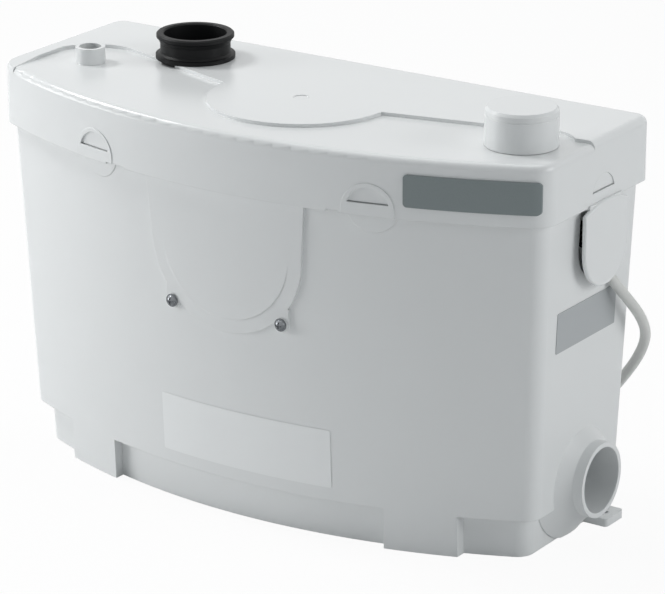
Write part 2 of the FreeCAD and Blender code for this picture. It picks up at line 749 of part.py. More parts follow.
def make_tank():
    outer = tank_loft(0, TANK_TOP).cut(plinth_recess())
    catch_zone = tank_loft(RIM_Z - CATCH_RADIUS, RIM_Z, -CATCH_PROUD)
    outer = outer.fuse(front_pad())
    for sign in (-1, 1):
        outer = outer.fuse(window_disc(sign, CATCH_RADIUS).common(catch_zone))
    seat = screw_seat_y()
    for sign in (-1, 1):
        boss = cylinder_y(WASHER_RADIUS + LOOSE_FIT, seat, seat + SCREW_BOSS_DEPTH, sign * SCREW_X, SCREW_Z)
        outer = outer.fuse(boss)
    outer = outer.fuse(inlet_spigot())
    low = plinth_loft(TANK_WALL, INNER_LEDGE_Z, TANK_WALL)
    high = tank_loft(INNER_LEDGE_Z, TANK_TOP + 1, TANK_WALL)
    hollow = low.fuse(high)
    keep = inlet_spigot()
    hollow = hollow.cut(keep)
    shell = outer.cut(hollow)
    niche_block = niche_shape(NICHE_FLOOR_X - NICHE_WALL, side_x(NICHE_TOP_Z) - 1, NICHE_WALL)
    niche_block = niche_block.fuse(cord_channel(NICHE_WALL))
    added = [niche_block.common(tank_loft(NICHE_BOTTOM_Z - 6 * OVERSHOOT, TANK_TOP, TANK_WALL / 2))]
    added += flap_ears()
    added += box_brackets()
    holes = []
    for sign in (-1, 1):
        lug, hole = fixing_lug(sign)
        added.append(lug)
        holes.append(hole)
        holes.append(cylinder_y(SCREW_SHANK / 2 + LOOSE_FIT / 2, seat - 1, CORNER_Y, sign * SCREW_X, SCREW_Z))
    tank = shell.multiFuse(added)
    holes.append(niche_shape(NICHE_FLOOR_X, HALF_LENGTH, 0))
    holes.append(cord_channel(0))
    holes.append(cylinder_x(INLET_BORE, INLET_SEAT_X - OVERSHOOT, INLET_END_X + OVERSHOOT, INLET_Y, INLET_Z))
    ear_reach = FLAP_HALF_WIDTH + LOOSE_FIT + FLAP_EAR
    holes.append(cylinder_y(FLAP_PIN_RADIUS, INLET_Y - ear_reach - 1, INLET_Y + ear_reach + 1,
                            INLET_SEAT_X, FLAP_PIN_Z))
    return tank.cut(holes[0].multiFuse(holes[1:])).removeSplitter()


def make_gasket():
    """Rubber rope on the tank's rim."""
    height = LID_UNDER_Z - SEAT_GAP - TANK_TOP
    outer = Part.Face(tank_wire(TANK_TOP, SEAT_GAP)).extrude(V(0, 0, height))
    inner = Part.Face(tank_wire(TANK_TOP - 1, TANK_WALL - SEAT_GAP)).extrude(V(0, 0, height + 2))
    return outer.cut(inner)


# Lid
def low_deck_region(z0, z1):
    """Sunken part of the deck: it opens to the front and right and goes round the stub and the spout."""
    left = LOW_DECK_MARGIN - HALF_LENGTH
    right = HALF_LENGTH + 2 * OVERSHOOT
    front = -FRONT_REACH - 2 * OVERSHOOT

    def on_circle(cx, cy, radius, degrees):
        a = math.radians(degrees)
        return V(cx + radius * math.cos(a), cy + radius * math.sin(a), z0)

    left_a = math.degrees(math.acos((left - VENT_X) / VENT_CLEAR_RADIUS))
    left_arc = [on_circle(VENT_X, VENT_Y, VENT_CLEAR_RADIUS, d) for d in (left_a, *LOW_DECK_VENT_ARC)]
    right_arc = [on_circle(CAP_X, CAP_Y, CAP_CLEAR_RADIUS, d) for d in LOW_DECK_CAP_ARC]
    inner_left = V(DISC_X - DISC_RADIUS / 2, DISC_Y + LOW_DECK_STEP_Y[0], z0)
    inner_right = V(DISC_X + DISC_RADIUS / 2, DISC_Y + LOW_DECK_STEP_Y[1], z0)
    side = V(right, LOW_DECK_RIGHT_Y, z0)
    corners = [left_arc[0], V(left, front, z0), V(right, front, z0), side, right_arc[2]]
    edges = [line_edge(p, q) for p, q in zip(corners, corners[1:])]
    edges += [
        arc_edge(right_arc[2], right_arc[1], right_arc[0]),
        line_edge(right_arc[0], inner_right),
        line_edge(inner_right, inner_left),
        line_edge(inner_left, left_arc[2]),
        arc_edge(left_arc[2], left_arc[1], left_arc[0]),
    ]
    region = Part.Face(Part.Wire(edges)).extrude(V(0, 0, z1 - z0))
    return region.cut(cylinder(DISC_RADIUS, z0 - 1, z1 + 1, DISC_X, DISC_Y))


def strip_slope():
    """Wedge that lets the raised strip at the left run out into the low deck."""
    start_y, end_y = STRIP_SLOPE_Y
    x0 = -HALF_LENGTH - 1
    corners = [V(x0, start_y, TOP_Z), V(x0, start_y, TOP_Z + 1), V(x0, -FRONT_REACH, TOP_Z + 1),
               V(x0, -FRONT_REACH, LOW_DECK_Z), V(x0, end_y, LOW_DECK_Z)]
    face = Part.Face(Part.makePolygon(corners + corners[:1]))
    return face.extrude(V(LOW_DECK_MARGIN + 2, 0, 0))


def rounded_prism(z0, z1, radius):
    prism = lid_prism(z0, z1)
    top = [e for e in prism.Edges if abs(e.BoundBox.ZMin - z1) < 0.01 and abs(e.BoundBox.ZMax - z1) < 0.01]
    return prism.makeFillet(radius, top)


def window_segment(depth_in, depth_out, place):
    """Half-moon prism through the rim; place is "front" with a side sign, or "side"."""
    half = WINDOW_HALF
    rise = WINDOW_HEIGHT
    radius = (half * half + rise * rise) / (2 * rise)
    disc_z = WINDOW_Z + rise - radius
    kind, sign = place
    if kind == "front":
        x = sign * WINDOW_X
        disc = cylinder_y(radius, depth_out, depth_in, x, disc_z)
        keep = block(x - half - 1, x + half + 1, depth_out - 1, depth_in + 1, WINDOW_Z, WINDOW_Z + rise + 1)
        slot = block(x - half, x + half, depth_out, depth_in, WINDOW_Z - WINDOW_SLOT, WINDOW_Z)
    else:
        y = INLET_Y
        x0, x1 = sorted((sign * depth_in, sign * depth_out))
        disc = cylinder_x(radius, x0, x1, y, disc_z)
        keep = block(x0 - 1, x1 + 1, y - half - 1, y + half + 1, WINDOW_Z, WINDOW_Z + rise + 1)
        slot = block(x0, x1, y - half, y + half, WINDOW_Z - WINDOW_SLOT, WINDOW_Z)
    return disc.common(keep), slot


def cut_windows(lid):
    """Shallow half-moons with an open slot along the chord, on round pads at the front."""
    front_out = -FRONT_REACH - OVERSHOOT
    front_in = CORNER_Y - OVERSHOOT
    shallow = lid_prism(RIM_Z - 1, TOP_Z + 1).cut(lid_prism(RIM_Z - 2, TOP_Z + 2, WINDOW_DEPTH))
    proud = lid_prism(RIM_Z, TOP_Z - LID_EDGE_ROUND, -WINDOW_PAD_PROUD)
    for sign in (-1, 1):
        raised = proud.common(window_disc(sign, WINDOW_PAD_RADIUS))
        lid = lid.fuse(raised.cut(lid_prism(RIM_Z - 1, TOP_Z, WINDOW_DEPTH)))
    for place in (("front", -1), ("front", 1), ("side", -1), ("side", 1)):
        if place[0] == "front":
            moon, slot = window_segment(front_in, front_out, place)
            shallow_here = moon.common(shallow.fuse(proud.cut(lid_prism(RIM_Z - 1, TOP_Z))))
        else:
            moon, slot = window_segment(HALF_LENGTH - 2 * LID_WALL, HALF_LENGTH + 1, place)
            shallow_here = moon.common(shallow)
        lid = lid.cut(shallow_here).cut(slot)
    for x0, x1 in RIM_NOTCHES:
        lid = lid.cut(block(x0, x1, front_out, front_in, RIM_Z - 1, RIM_Z + RIM_NOTCH_HEIGHT))
    return lid


def cable_tongue():
    """Flat tongue with a round bottom that hangs from the rim in front of the niche."""
    x0 = TONGUE_X
    x1 = x0 + TONGUE_THICKNESS
    low_z = TONGUE_BOTTOM_Z + TONGUE_HALF
    top_rise = TONGUE_TOP_Z - RIM_Z
    a = V(x0, TONGUE_Y - TONGUE_HALF, low_z)
    b = V(x0, TONGUE_Y, TONGUE_BOTTOM_Z)
    c = V(x0, TONGUE_Y + TONGUE_HALF, low_z)
    d = V(x0, TONGUE_Y + TONGUE_HALF, RIM_Z - 2 * top_rise)
    e = V(x0, TONGUE_Y, TONGUE_TOP_Z)
    f = V(x0, TONGUE_Y - TONGUE_HALF, RIM_Z - 2 * top_rise)
    edges = [arc_edge(a, b, c), line_edge(c, d), arc_edge(d, e, f), line_edge(f, a)]
    plate = Part.Face(Part.Wire(edges)).extrude(V(x1 - x0, 0, 0))
    outer = [e for e in plate.Edges if abs(e.BoundBox.XMin - x1) < 0.01 and abs(e.BoundBox.XMax - x1) < 0.01]
    plate = plate.makeFillet(TONGUE_THICKNESS * TONGUE_EDGE_SHARE, outer)
    root_half = TONGUE_HALF * TONGUE_ROOT_SHARE
    root = block(x0 - LID_WALL, x0 + TONGUE_THICKNESS / 2, TONGUE_Y - root_half, TONGUE_Y + root_half,
                 RIM_Z - TONGUE_ROOT_OVERLAP, RIM_Z + TONGUE_ROOT_OVERLAP)
    return plate.fuse(root)


def make_lid():
    flat = rounded_prism(RIM_Z, LOW_DECK_Z, LID_EDGE_ROUND)
    plateau = rounded_prism(RIM_Z, TOP_Z, LID_EDGE_ROUND + DECK_STEP / 4)
    plateau = plateau.cut(low_deck_region(RIM_Z - 1, TOP_Z + OVERSHOOT)).cut(strip_slope())
    lid = flat.fuse(plateau)
    lid = lid.cut(cylinder(GATE_RADIUS, TOP_Z - GATE_DEPTH, TOP_Z + 1, DISC_X, DISC_Y))
    lid = cut_windows(lid)
    lid = lid.cut(lid_prism(RIM_Z - 1, LID_UNDER_Z, LID_WALL))
    lid = lid.fuse(cable_tongue())
    cup_z = LID_UNDER_Z - FILTER_HEIGHT - 2 * SEAT_GAP
    cup_radius = FILTER_RADIUS + LOOSE_FIT
    cup = ring(cup_radius + CUP_WALL, cup_radius, cup_z, LID_UNDER_Z + 1, VENT_X, VENT_Y)
    lip = ring(cup_radius + CUP_WALL, cup_radius - CUP_LIP, cup_z - CUP_LIP_HEIGHT, cup_z, VENT_X, VENT_Y)
    stub = cylinder(VENT_RADIUS, LID_UNDER_Z, LOW_DECK_Z + VENT_HEIGHT, VENT_X, VENT_Y)
    spout = cylinder(SPOUT_RADIUS, LID_UNDER_Z - SPOUT_DROP, LOW_DECK_Z + SPOUT_HEIGHT, CAP_X, CAP_Y)
    lid = lid.multiFuse([cup, lip, stub, spout])
    groove_z = LOW_DECK_Z + SPOUT_HEIGHT / 2
    groove_half = O_RING_SECTION * O_RING_GROOVE_SHARE
    groove = ring(SPOUT_RADIUS + 1, SPOUT_RADIUS - O_RING_SECTION, groove_z - groove_half,
                  groove_z + groove_half, CAP_X, CAP_Y)
    cuts = [
        cylinder(VENT_BORE, LID_UNDER_Z - 1, TOP_Z + VENT_HEIGHT, VENT_X, VENT_Y),
        cylinder(SPOUT_BORE, LID_UNDER_Z - SPOUT_DROP - 1, TOP_Z + SPOUT_HEIGHT, CAP_X, CAP_Y),
        cylinder(SLEEVE_NECK, LID_UNDER_Z - 1, TOP_Z + 1, SLEEVE_X, SLEEVE_Y),
        groove,
    ]
    return lid.cut(cuts[0].multiFuse(cuts[1:])).removeSplitter()


def make_filter():
    top = LID_UNDER_Z - SEAT_GAP
    return cylinder(FILTER_RADIUS, top - FILTER_HEIGHT, top, VENT_X, VENT_Y)


def make_o_ring():
    """Sits in the spout's groove and just clears the cap."""
    section = O_RING_SECTION / 2
    major = SPOUT_RADIUS - section + RUNNING_FIT / 2
    return Part.makeTorus(major, section, V(CAP_X, CAP_Y, LOW_DECK_Z + SPOUT_HEIGHT / 2), V(0, 0, 1))


def make_cap():
    bottom = LOW_DECK_Z + SEAT_GAP
    top = LOW_DECK_Z + CAP_HEIGHT
    chamfer = CAP_RADIUS - CAP_FACE_RADIUS
    bead = CAP_BEAD
    shoulder = top - CAP_SHOULDER_SHARE * chamfer
    profile = [
        (0, bottom), (CAP_RADIUS, bottom), (CAP_RADIUS, shoulder - 2 * bead),
        (CAP_RADIUS - bead, shoulder - bead), (CAP_RADIUS - bead / 4, shoulder),
        (CAP_RADIUS - bead, top - chamfer), (CAP_FACE_RADIUS, top), (0, top),
    ]
    bore = SPOUT_RADIUS + RUNNING_FIT
    solid = turn_profile(profile, CAP_X, CAP_Y)
    return solid.cut(cylinder(bore, bottom - 1, top - CAP_TOP_WALL, CAP_X, CAP_Y))


def make_sleeve():
    """Rubber spool: the lower flange lies on the deck, the skirt goes round the riser."""
    top = TOP_Z + SLEEVE_HEIGHT
    lip_top = LID_UNDER_Z
    grip = LID_UNDER_Z - SEAT_GAP
    flange = SLEEVE_FLANGE
    foot = flange + SLEEVE_FOOT_EDGE
    foot_top = TOP_Z + SLEEVE_FOOT_HEIGHT
    rounding = SLEEVE_ROUNDING
    under = top - SLEEVE_FLANGE_HEIGHT
    flared = SLEEVE_NECK + SLEEVE_NECK_FLARE
    rise = SLEEVE_NECK_RISE
    profile = [
        (SLEEVE_BORE, lip_top), (SLEEVE_BORE, top - rounding), (SLEEVE_BORE + rounding, top),
        (flange - rounding, top), (flange, top - rounding), (flange, under + rounding),
        (flange - rounding, under), (flared, under - rise[0]), (SLEEVE_NECK, under - rise[1]),
        (SLEEVE_NECK, foot_top + rise[2]), (flared, foot_top + rise[3]), (foot, foot_top), (foot, TOP_Z),
        (SLEEVE_NECK, TOP_Z), (SLEEVE_NECK, grip), (flange, grip), (flange, grip - SLEEVE_GRIP_HEIGHT),
        (SLEEVE_NECK, grip - SLEEVE_GRIP_HEIGHT - 1), (SLEEVE_NECK, lip_top - SLEEVE_DROP),
        (RISER_RADIUS + LOOSE_FIT, lip_top - SLEEVE_DROP), (RISER_RADIUS + LOOSE_FIT, lip_top - SLEEVE_LIP),
        (SLEEVE_LIP_BORE, lip_top - SLEEVE_LIP), (SLEEVE_LIP_BORE, lip_top),
    ]
    return turn_profile(profile, SLEEVE_X, SLEEVE_Y)


# Plates and labels
def make_nameplate():
    skin = lid_prism(RIM_Z, TOP_Z, -NAMEPLATE_THICKNESS).cut(lid_prism(RIM_Z - 1, TOP_Z + 1, -GLUE_GAP))
    window = rounded_rectangle_y(NAMEPLATE_X, NAMEPLATE_Z, NAMEPLATE_CORNER, -FRONT_REACH - 2 * OVERSHOOT,
                                 CORNER_Y + 2 * OVERSHOOT)
    return window.common(skin)


def tank_skin(z0, z1):
    """Thin layer just outside the tank's wall."""
    outer = tank_loft(0, TANK_TOP, -LABEL_THICKNESS)
    layer = outer.cut(tank_loft(0, TANK_TOP, -GLUE_GAP))
    return layer.common(block(-HALF_LENGTH, HALF_LENGTH, -FRONT_REACH, BACK_REACH, z0 - 1, z1 + 1))


def make_front_label():
    z0, z1 = FRONT_LABEL_Z
    skin = tank_skin(z0, z1)
    window = rounded_rectangle_y(FRONT_LABEL_X, FRONT_LABEL_Z, FRONT_LABEL_CORNER, -FRONT_REACH, CORNER_Y)
    return window.common(skin)


def make_rating_label():
    z0, z1 = RATING_LABEL_Z
    skin = tank_skin(z0, z1)
    window = rounded_rectangle_x(RATING_LABEL_Y, RATING_LABEL_Z, RATING_LABEL_CORNER,
                                 HALF_LENGTH / 2, HALF_LENGTH)
    return window.common(skin)


# Front screws, drawn as one screw along -Y and copied to both sides
def cross_recess(x, y, z):
    arm = SCREW_HEAD_RADIUS * CROSS_ARM_SHARE
    thick = SCREW_HEAD_RADIUS * CROSS_BAR_SHARE
    depth = SCREW_HEAD_HEIGHT * CROSS_DEPTH_SHARE
    bar = block(x - arm, x + arm, y, y + depth, z - thick, z + thick)
    post = block(x - thick, x + thick, y, y + depth, z - arm, z + arm)
    return bar.fuse(post)


def front_screw(x):
    seat = screw_seat_y() - WASHER_THICKNESS
    crown = seat - SCREW_HEAD_HEIGHT
    dome = (SCREW_HEAD_RADIUS ** 2 + SCREW_HEAD_HEIGHT ** 2) / (2 * SCREW_HEAD_HEIGHT)
    ball = Part.makeSphere(dome, V(x, crown + dome, SCREW_Z))
    head = ball.common(cylinder_y(SCREW_HEAD_RADIUS, crown - 1, seat, x, SCREW_Z))
    shank = cylinder_y(SCREW_SHANK / 2, seat, seat + SCREW_LENGTH, x, SCREW_Z)
    return head.fuse(shank).removeSplitter().cut(cross_recess(x, crown - 0.1, SCREW_Z))


def make_screws():
    return Part.makeCompound([front_screw(sign * SCREW_X) for sign in (-1, 1)])


def make_washers():
    seat = screw_seat_y()
    washers = []
    for sign in (-1, 1):
        disc = cylinder_y(WASHER_RADIUS, seat - WASHER_THICKNESS, seat, sign * SCREW_X, SCREW_Z)
        washers.append(disc.cut(cylinder_y(SCREW_SHANK / 2 + RUNNING_FIT, seat - OVERSHOOT, seat + OVERSHOOT,
                                           sign * SCREW_X, SCREW_Z)))
    return Part.makeCompound(washers)


def make_nuts():
    """Hexagon nuts, lifted off the bowed inner wall until their corners clear it."""
    inner_y = front_y(SCREW_X - NUT_WIDTH, SCREW_Z - NUT_WIDTH) + TANK_WALL
    inner_y = max(inner_y, front_y(SCREW_X + NUT_WIDTH, SCREW_Z - NUT_WIDTH) + TANK_WALL)
    nuts = []
    for sign in (-1, 1):
        nut = hex_prism(NUT_WIDTH, 0, NUT_HEIGHT, 0, 0)
        nut.rotate(V(0, 0, 0), V(1, 0, 0), -90)
        nut.translate(V(sign * SCREW_X, inner_y, SCREW_Z))
        nuts.append(nut.cut(cylinder_y(SCREW_SHANK / 2, inner_y - 1, inner_y + NUT_HEIGHT + 1,
                                       sign * SCREW_X, SCREW_Z)))
    return Part.makeCompound(nuts)


# Pump
def on_pump(radius, degrees):
    a = math.radians(degrees)
    return PUMP_X + radius * math.cos(a), PUMP_Y + radius * math.sin(a)


def bolt_places():
    return [on_pump(BOLT_CIRCLE, d) for d in (BOLT_ANGLE, 180 - BOLT_ANGLE, 180 + BOLT_ANGLE, -BOLT_ANGLE)]


def bolted_plate(radius, z0, z1):
    """Round plate with four bolt ears."""
    plate = cylinder(radius, z0, z1, PUMP_X, PUMP_Y)
    ears = [cylinder(BOLT_EAR, z0, z1, x, y) for x, y in bolt_places()]
    return plate.multiFuse(ears).removeSplitter()


def bolt_holes(z0, z1):
    holes = [cylinder(BOLT_HOLE, z0 - 1, z1 + 1, x, y) for x, y in bolt_places()]
    return holes[0].multiFuse(holes[1:])


def pump_cylinder(radius, z0, z1):
    return cylinder(radius, z0, z1, PUMP_X, PUMP_Y)


def make_suction_cover():
    plate = bolted_plate(VOLUTE_RADIUS, SUCTION_COVER_Z, VOLUTE_Z)
    eye = pump_cylinder(EYE_RADIUS, SUCTION_COVER_Z - 1, VOLUTE_Z + 1)
    return plate.cut(eye).cut(bolt_holes(SUCTION_COVER_Z, VOLUTE_Z))


def make_volute():
    """Pump casing with a tangential outlet towards -X."""
    body = bolted_plate(VOLUTE_RADIUS, VOLUTE_Z, FLANGE_Z)
    outlet = cylinder_x(OUTLET_RADIUS, OUTLET_END_X, PUMP_X, SLEEVE_Y, OUTLET_Z)
    body = body.fuse(outlet)
    chamber = pump_cylinder(VOLUTE_CHAMBER, VOLUTE_Z - 1, FLANGE_Z - VOLUTE_TOP_WALL)
    bore = cylinder_x(OUTLET_BORE, OUTLET_END_X - 1, PUMP_X, SLEEVE_Y, OUTLET_Z)
    shaft_hole = pump_cylinder(SHAFT_RADIUS + SHAFT_CLEARANCE, VOLUTE_Z, FLANGE_Z + 1)
    return body.cut(chamber.multiFuse([bore, shaft_hole])).cut(bolt_holes(VOLUTE_Z, FLANGE_Z))


def make_cutter_ring():
    """Slotted cup under the suction cover, against which the cutter works."""
    inner = CUTTER_RING_RADIUS - CUTTER_RING_WALL
    cup = pump_cylinder(CUTTER_RING_RADIUS, CUTTER_RING_Z, SUCTION_COVER_Z)
    cup = cup.cut(pump_cylinder(inner, CUTTER_RING_Z + CUTTER_RING_FLOOR, SUCTION_COVER_Z + 1))
    slots = []
    for i in range(CUTTER_SLOTS):
        slot = block(inner - 3, CUTTER_RING_RADIUS + 3, -CUTTER_SLOT_HALF, CUTTER_SLOT_HALF,
                     CUTTER_RING_Z + CUTTER_RING_FLOOR + CUTTER_RING_WALL, SUCTION_COVER_Z - CUTTER_RING_WALL)
        slot.rotate(V(0, 0, 0), V(0, 0, 1), 360.0 * i / CUTTER_SLOTS)
        slot.translate(V(PUMP_X, PUMP_Y, 0))
        slots.append(slot)
    return cup.cut(slots[0].multiFuse(slots[1:]))


def make_pump_feet():
    feet = []
    for degrees in PUMP_FOOT_DEGREES:
        x, y = on_pump(PUMP_FOOT_CIRCLE, degrees)
        feet.append(cylinder(PUMP_FOOT_RADIUS, PUMP_BOTTOM_Z, SUCTION_COVER_Z, x, y))
    return Part.makeCompound(feet)


def make_pump_bolts():
    bolts = []
    top = CAN_Z
    for x, y in bolt_places():
        head = hex_prism(BOLT_NUT_WIDTH, SUCTION_COVER_Z - BOLT_HEAD, SUCTION_COVER_Z, x, y)
        shank = cylinder(BOLT_RADIUS, SUCTION_COVER_Z - 1, top + BOLT_END, x, y)
        nut = hex_prism(BOLT_NUT_WIDTH, top, top + BOLT_NUT, x, y)
        bolts.append(fuse_all([head, shank, nut]))
    return Part.makeCompound(bolts)


def make_motor_flange():
    plate = bolted_plate(VOLUTE_RADIUS, FLANGE_Z, CAN_Z)
    cuts = [
        pump_cylinder(SHAFT_RADIUS + SHAFT_CLEARANCE, FLANGE_Z - 1, CAN_Z + 1),
        pump_cylinder(SEAL_RADIUS, FLANGE_Z - 1, FLANGE_Z + SEAL_HEIGHT),
        pump_cylinder(BEARING_RADIUS, CAN_Z - BEARING_HEIGHT, CAN_Z + 1),
    ]
    return plate.cut(cuts[0].multiFuse(cuts[1:])).cut(bolt_holes(FLANGE_Z, CAN_Z))


def make_motor_can():
    can = pump_cylinder(MOTOR_RADIUS, CAN_Z, CAN_TOP_Z)
    return can.cut(pump_cylinder(MOTOR_RADIUS - MOTOR_CAN_WALL, CAN_Z - 1, CAN_TOP_Z + 1))


def make_end_cap():
    """Top shield with the boss that holds the upper bearing."""
    plate_top = CAN_TOP_Z + END_CAP_PLATE
    plate = pump_cylinder(MOTOR_RADIUS, CAN_TOP_Z, plate_top)
    dome = pump_cylinder(MOTOR_RADIUS - END_CAP_STEP, plate_top, plate_top + END_CAP_DOME)
    boss = pump_cylinder(BEARING_RADIUS + BEARING_BOSS_WALL, CAN_TOP_Z - BEARING_HEIGHT, CAN_TOP_Z + 1)
    body = fuse_all([plate, dome, boss])
    return body.cut(pump_cylinder(BEARING_RADIUS, CAN_TOP_Z - BEARING_HEIGHT - 1, CAN_TOP_Z + 0.5))


def make_bearing(z0):
    """Outer and inner ring joined by the cage, with grooves on both faces."""
    bearing = ring(BEARING_RADIUS, SHAFT_RADIUS + RUNNING_FIT, z0, z0 + BEARING_HEIGHT, PUMP_X, PUMP_Y)
    for z in (z0 - 1, z0 + BEARING_HEIGHT - BEARING_GROOVE_DEPTH):
        bearing = bearing.cut(ring(*BEARING_GROOVE, z, z + BEARING_GROOVE_DEPTH + 1, PUMP_X, PUMP_Y))
    return bearing


def make_seal():
    return ring(SEAL_RADIUS, SHAFT_RADIUS + RUNNING_FIT, FLANGE_Z, FLANGE_Z + SEAL_HEIGHT, PUMP_X, PUMP_Y)


def make_stator():
    inner = STATOR_BORE
    outer = MOTOR_RADIUS - MOTOR_CAN_WALL
    core = ring(outer, inner, STATOR_Z, STATOR_Z + STATOR_HEIGHT, PUMP_X, PUMP_Y)
    slots = []
    for i in range(STATOR_SLOTS):
        slot = block(inner + STATOR_SLOT_START, inner + STATOR_SLOT_START + STATOR_SLOT_DEPTH,
                     -STATOR_SLOT_HALF, STATOR_SLOT_HALF, STATOR_Z - 1, STATOR_Z + STATOR_HEIGHT + 1)
        mouth = block(inner - 2, inner + STATOR_SLOT_START + 1, -STATOR_MOUTH_HALF, STATOR_MOUTH_HALF,
                      STATOR_Z - 1, STATOR_Z + STATOR_HEIGHT + 1)
        slot = slot.fuse(mouth)
        slot.rotate(V(0, 0, 0), V(0, 0, 1), 360.0 * i / STATOR_SLOTS)
        slot.translate(V(PUMP_X, PUMP_Y, 0))
        slots.append(slot)
    return core.cut(slots[0].multiFuse(slots[1:]))


def make_windings():
    """Two winding heads, above and below the core, with rounded edges."""
    heads = []
    for z0 in (STATOR_Z - WINDING_HEIGHT, STATOR_Z + STATOR_HEIGHT):
        inner = STATOR_BORE + STATOR_SLOT_START
        head = ring(inner + WINDING_WIDTH, inner, z0, z0 + WINDING_HEIGHT, PUMP_X, PUMP_Y)
        far = z0 if z0 < STATOR_Z else z0 + WINDING_HEIGHT
        edges = [e for e in head.Edges
                 if abs(e.BoundBox.ZMin - far) < 0.01 and abs(e.BoundBox.ZMax - far) < 0.01]
        heads.append(head.makeFillet(WINDING_ROUND, edges))
    return Part.makeCompound(heads)


# Rotor
def make_shaft():
    step_z = VOLUTE_Z + IMPELLER_HUB_TOP
    thick = pump_cylinder(SHAFT_RADIUS, step_z, CAN_TOP_Z - SEAT_GAP)
    thin = pump_cylinder(SHAFT_END_RADIUS, CUTTER_RING_Z + SHAFT_END_START, step_z)
    return fuse_all([thick, thin])


def make_rotor_core():
    radius = STATOR_BORE - AIR_GAP
    return ring(radius, SHAFT_RADIUS, STATOR_Z, STATOR_Z + STATOR_HEIGHT, PUMP_X, PUMP_Y)


def make_impeller():
    """Half-open impeller: disc on top, curved vanes hanging from it."""
    disc_z = VOLUTE_Z + IMPELLER_DISC_START
    vane_z = VOLUTE_Z + IMPELLER_LIFT
    hub_z = VOLUTE_Z + IMPELLER_HUB_START
    hub = pump_cylinder(IMPELLER_HUB_RADIUS, hub_z, VOLUTE_Z + IMPELLER_HUB_TOP)
    disc = pump_cylinder(IMPELLER_RADIUS, disc_z, disc_z + IMPELLER_DISC)
    parts = [hub, disc]
    for i in range(IMPELLER_VANES):
        curve = IMPELLER_RADIUS * IMPELLER_VANE_CURVE
        x = IMPELLER_RADIUS * IMPELLER_VANE_CENTRE[0]
        y = curve * IMPELLER_VANE_CENTRE[1]
        outer = cylinder(curve, vane_z, disc_z + 1, x, y)
        inner = cylinder(curve - IMPELLER_VANE_WALL, vane_z - 1, disc_z + 2, x, y)
        vane = outer.cut(inner).common(cylinder(IMPELLER_RADIUS, vane_z, disc_z + 1))
        vane = vane.common(block(IMPELLER_HUB_RADIUS / 2, IMPELLER_RADIUS, -IMPELLER_RADIUS,
                                 IMPELLER_HUB_RADIUS / 3, vane_z, disc_z + 1))
        vane.rotate(V(0, 0, 0), V(0, 0, 1), 360.0 * i / IMPELLER_VANES)
        vane.translate(V(PUMP_X, PUMP_Y, 0))
        parts.append(vane)
    body = fuse_all(parts)
    body = body.cut(pump_cylinder(CUTTER_HUB_RADIUS + LOOSE_FIT, vane_z - 1, hub_z))
    return body.cut(pump_cylinder(SHAFT_END_RADIUS, vane_z - 2, CAN_Z))


def make_cutter():
    """Two-armed knife on a long hub that reaches up to the impeller."""
    hub_top = VOLUTE_Z + IMPELLER_HUB_START
    hub = pump_cylinder(CUTTER_HUB_RADIUS, CUTTER_RING_Z + CUTTER_HUB_START, hub_top)
    arm_z = CUTTER_RING_Z + CUTTER_ARM_START
    arm_top = arm_z + CUTTER_ARM_THICKNESS
    reach = CUTTER_RING_RADIUS - CUTTER_RING_WALL - CUTTER_TIP_GAP
    arms = block(PUMP_X - reach, PUMP_X + reach, PUMP_Y - CUTTER_ARM_HALF, PUMP_Y + CUTTER_ARM_HALF,
                 arm_z, arm_top)
    arms = arms.common(pump_cylinder(reach, arm_z, arm_top))
    tip_half = CUTTER_ARM_HALF - 2
    tips = []
    for sign in (-1, 1):
        x0, x1 = sorted(PUMP_X + sign * (reach - inset) for inset in (CUTTER_TIP_START, CUTTER_TIP_END))
        tips.append(block(x0, x1, PUMP_Y - tip_half, PUMP_Y + tip_half, arm_z, arm_z + CUTTER_TIP_HEIGHT))
    body = fuse_all([hub, arms] + tips)
    return body.cut(pump_cylinder(SHAFT_END_RADIUS, CUTTER_RING_Z, hub_top + 1))


def make_impeller_nut():
    low_z = CUTTER_RING_Z + SHAFT_NUT_START
    top_z = CUTTER_RING_Z + CUTTER_HUB_START
    nut = hex_prism(SHAFT_NUT_WIDTH, low_z, top_z, PUMP_X, PUMP_Y)
    return nut.cut(pump_cylinder(SHAFT_END_RADIUS, low_z - 1, top_z + 1))


# Discharge line
def make_hose():
    """Rubber elbow from the pump outlet up to the check valve."""
    outer = OUTLET_RADIUS + HOSE_WALL
    bend_x = SLEEVE_X + HOSE_BEND
    grip_x = OUTLET_END_X + HOSE_GRIP
    bend_z = OUTLET_Z + HOSE_BEND

    def run(radius, extra):
        flat = cylinder_x(radius, bend_x, grip_x + extra, SLEEVE_Y, OUTLET_Z)
        face = Part.Face(Part.Wire(Part.makeCircle(radius, V(bend_x, SLEEVE_Y, OUTLET_Z), V(1, 0, 0))))
        elbow = face.revolve(V(bend_x, SLEEVE_Y, bend_z), V(0, 1, 0), 90)
        up = cylinder(radius, bend_z, HOSE_TOP_Z + extra, SLEEVE_X, SLEEVE_Y)
        return fuse_all([flat, elbow, up])

    return run(outer, 0).cut(run(OUTLET_RADIUS, 1))


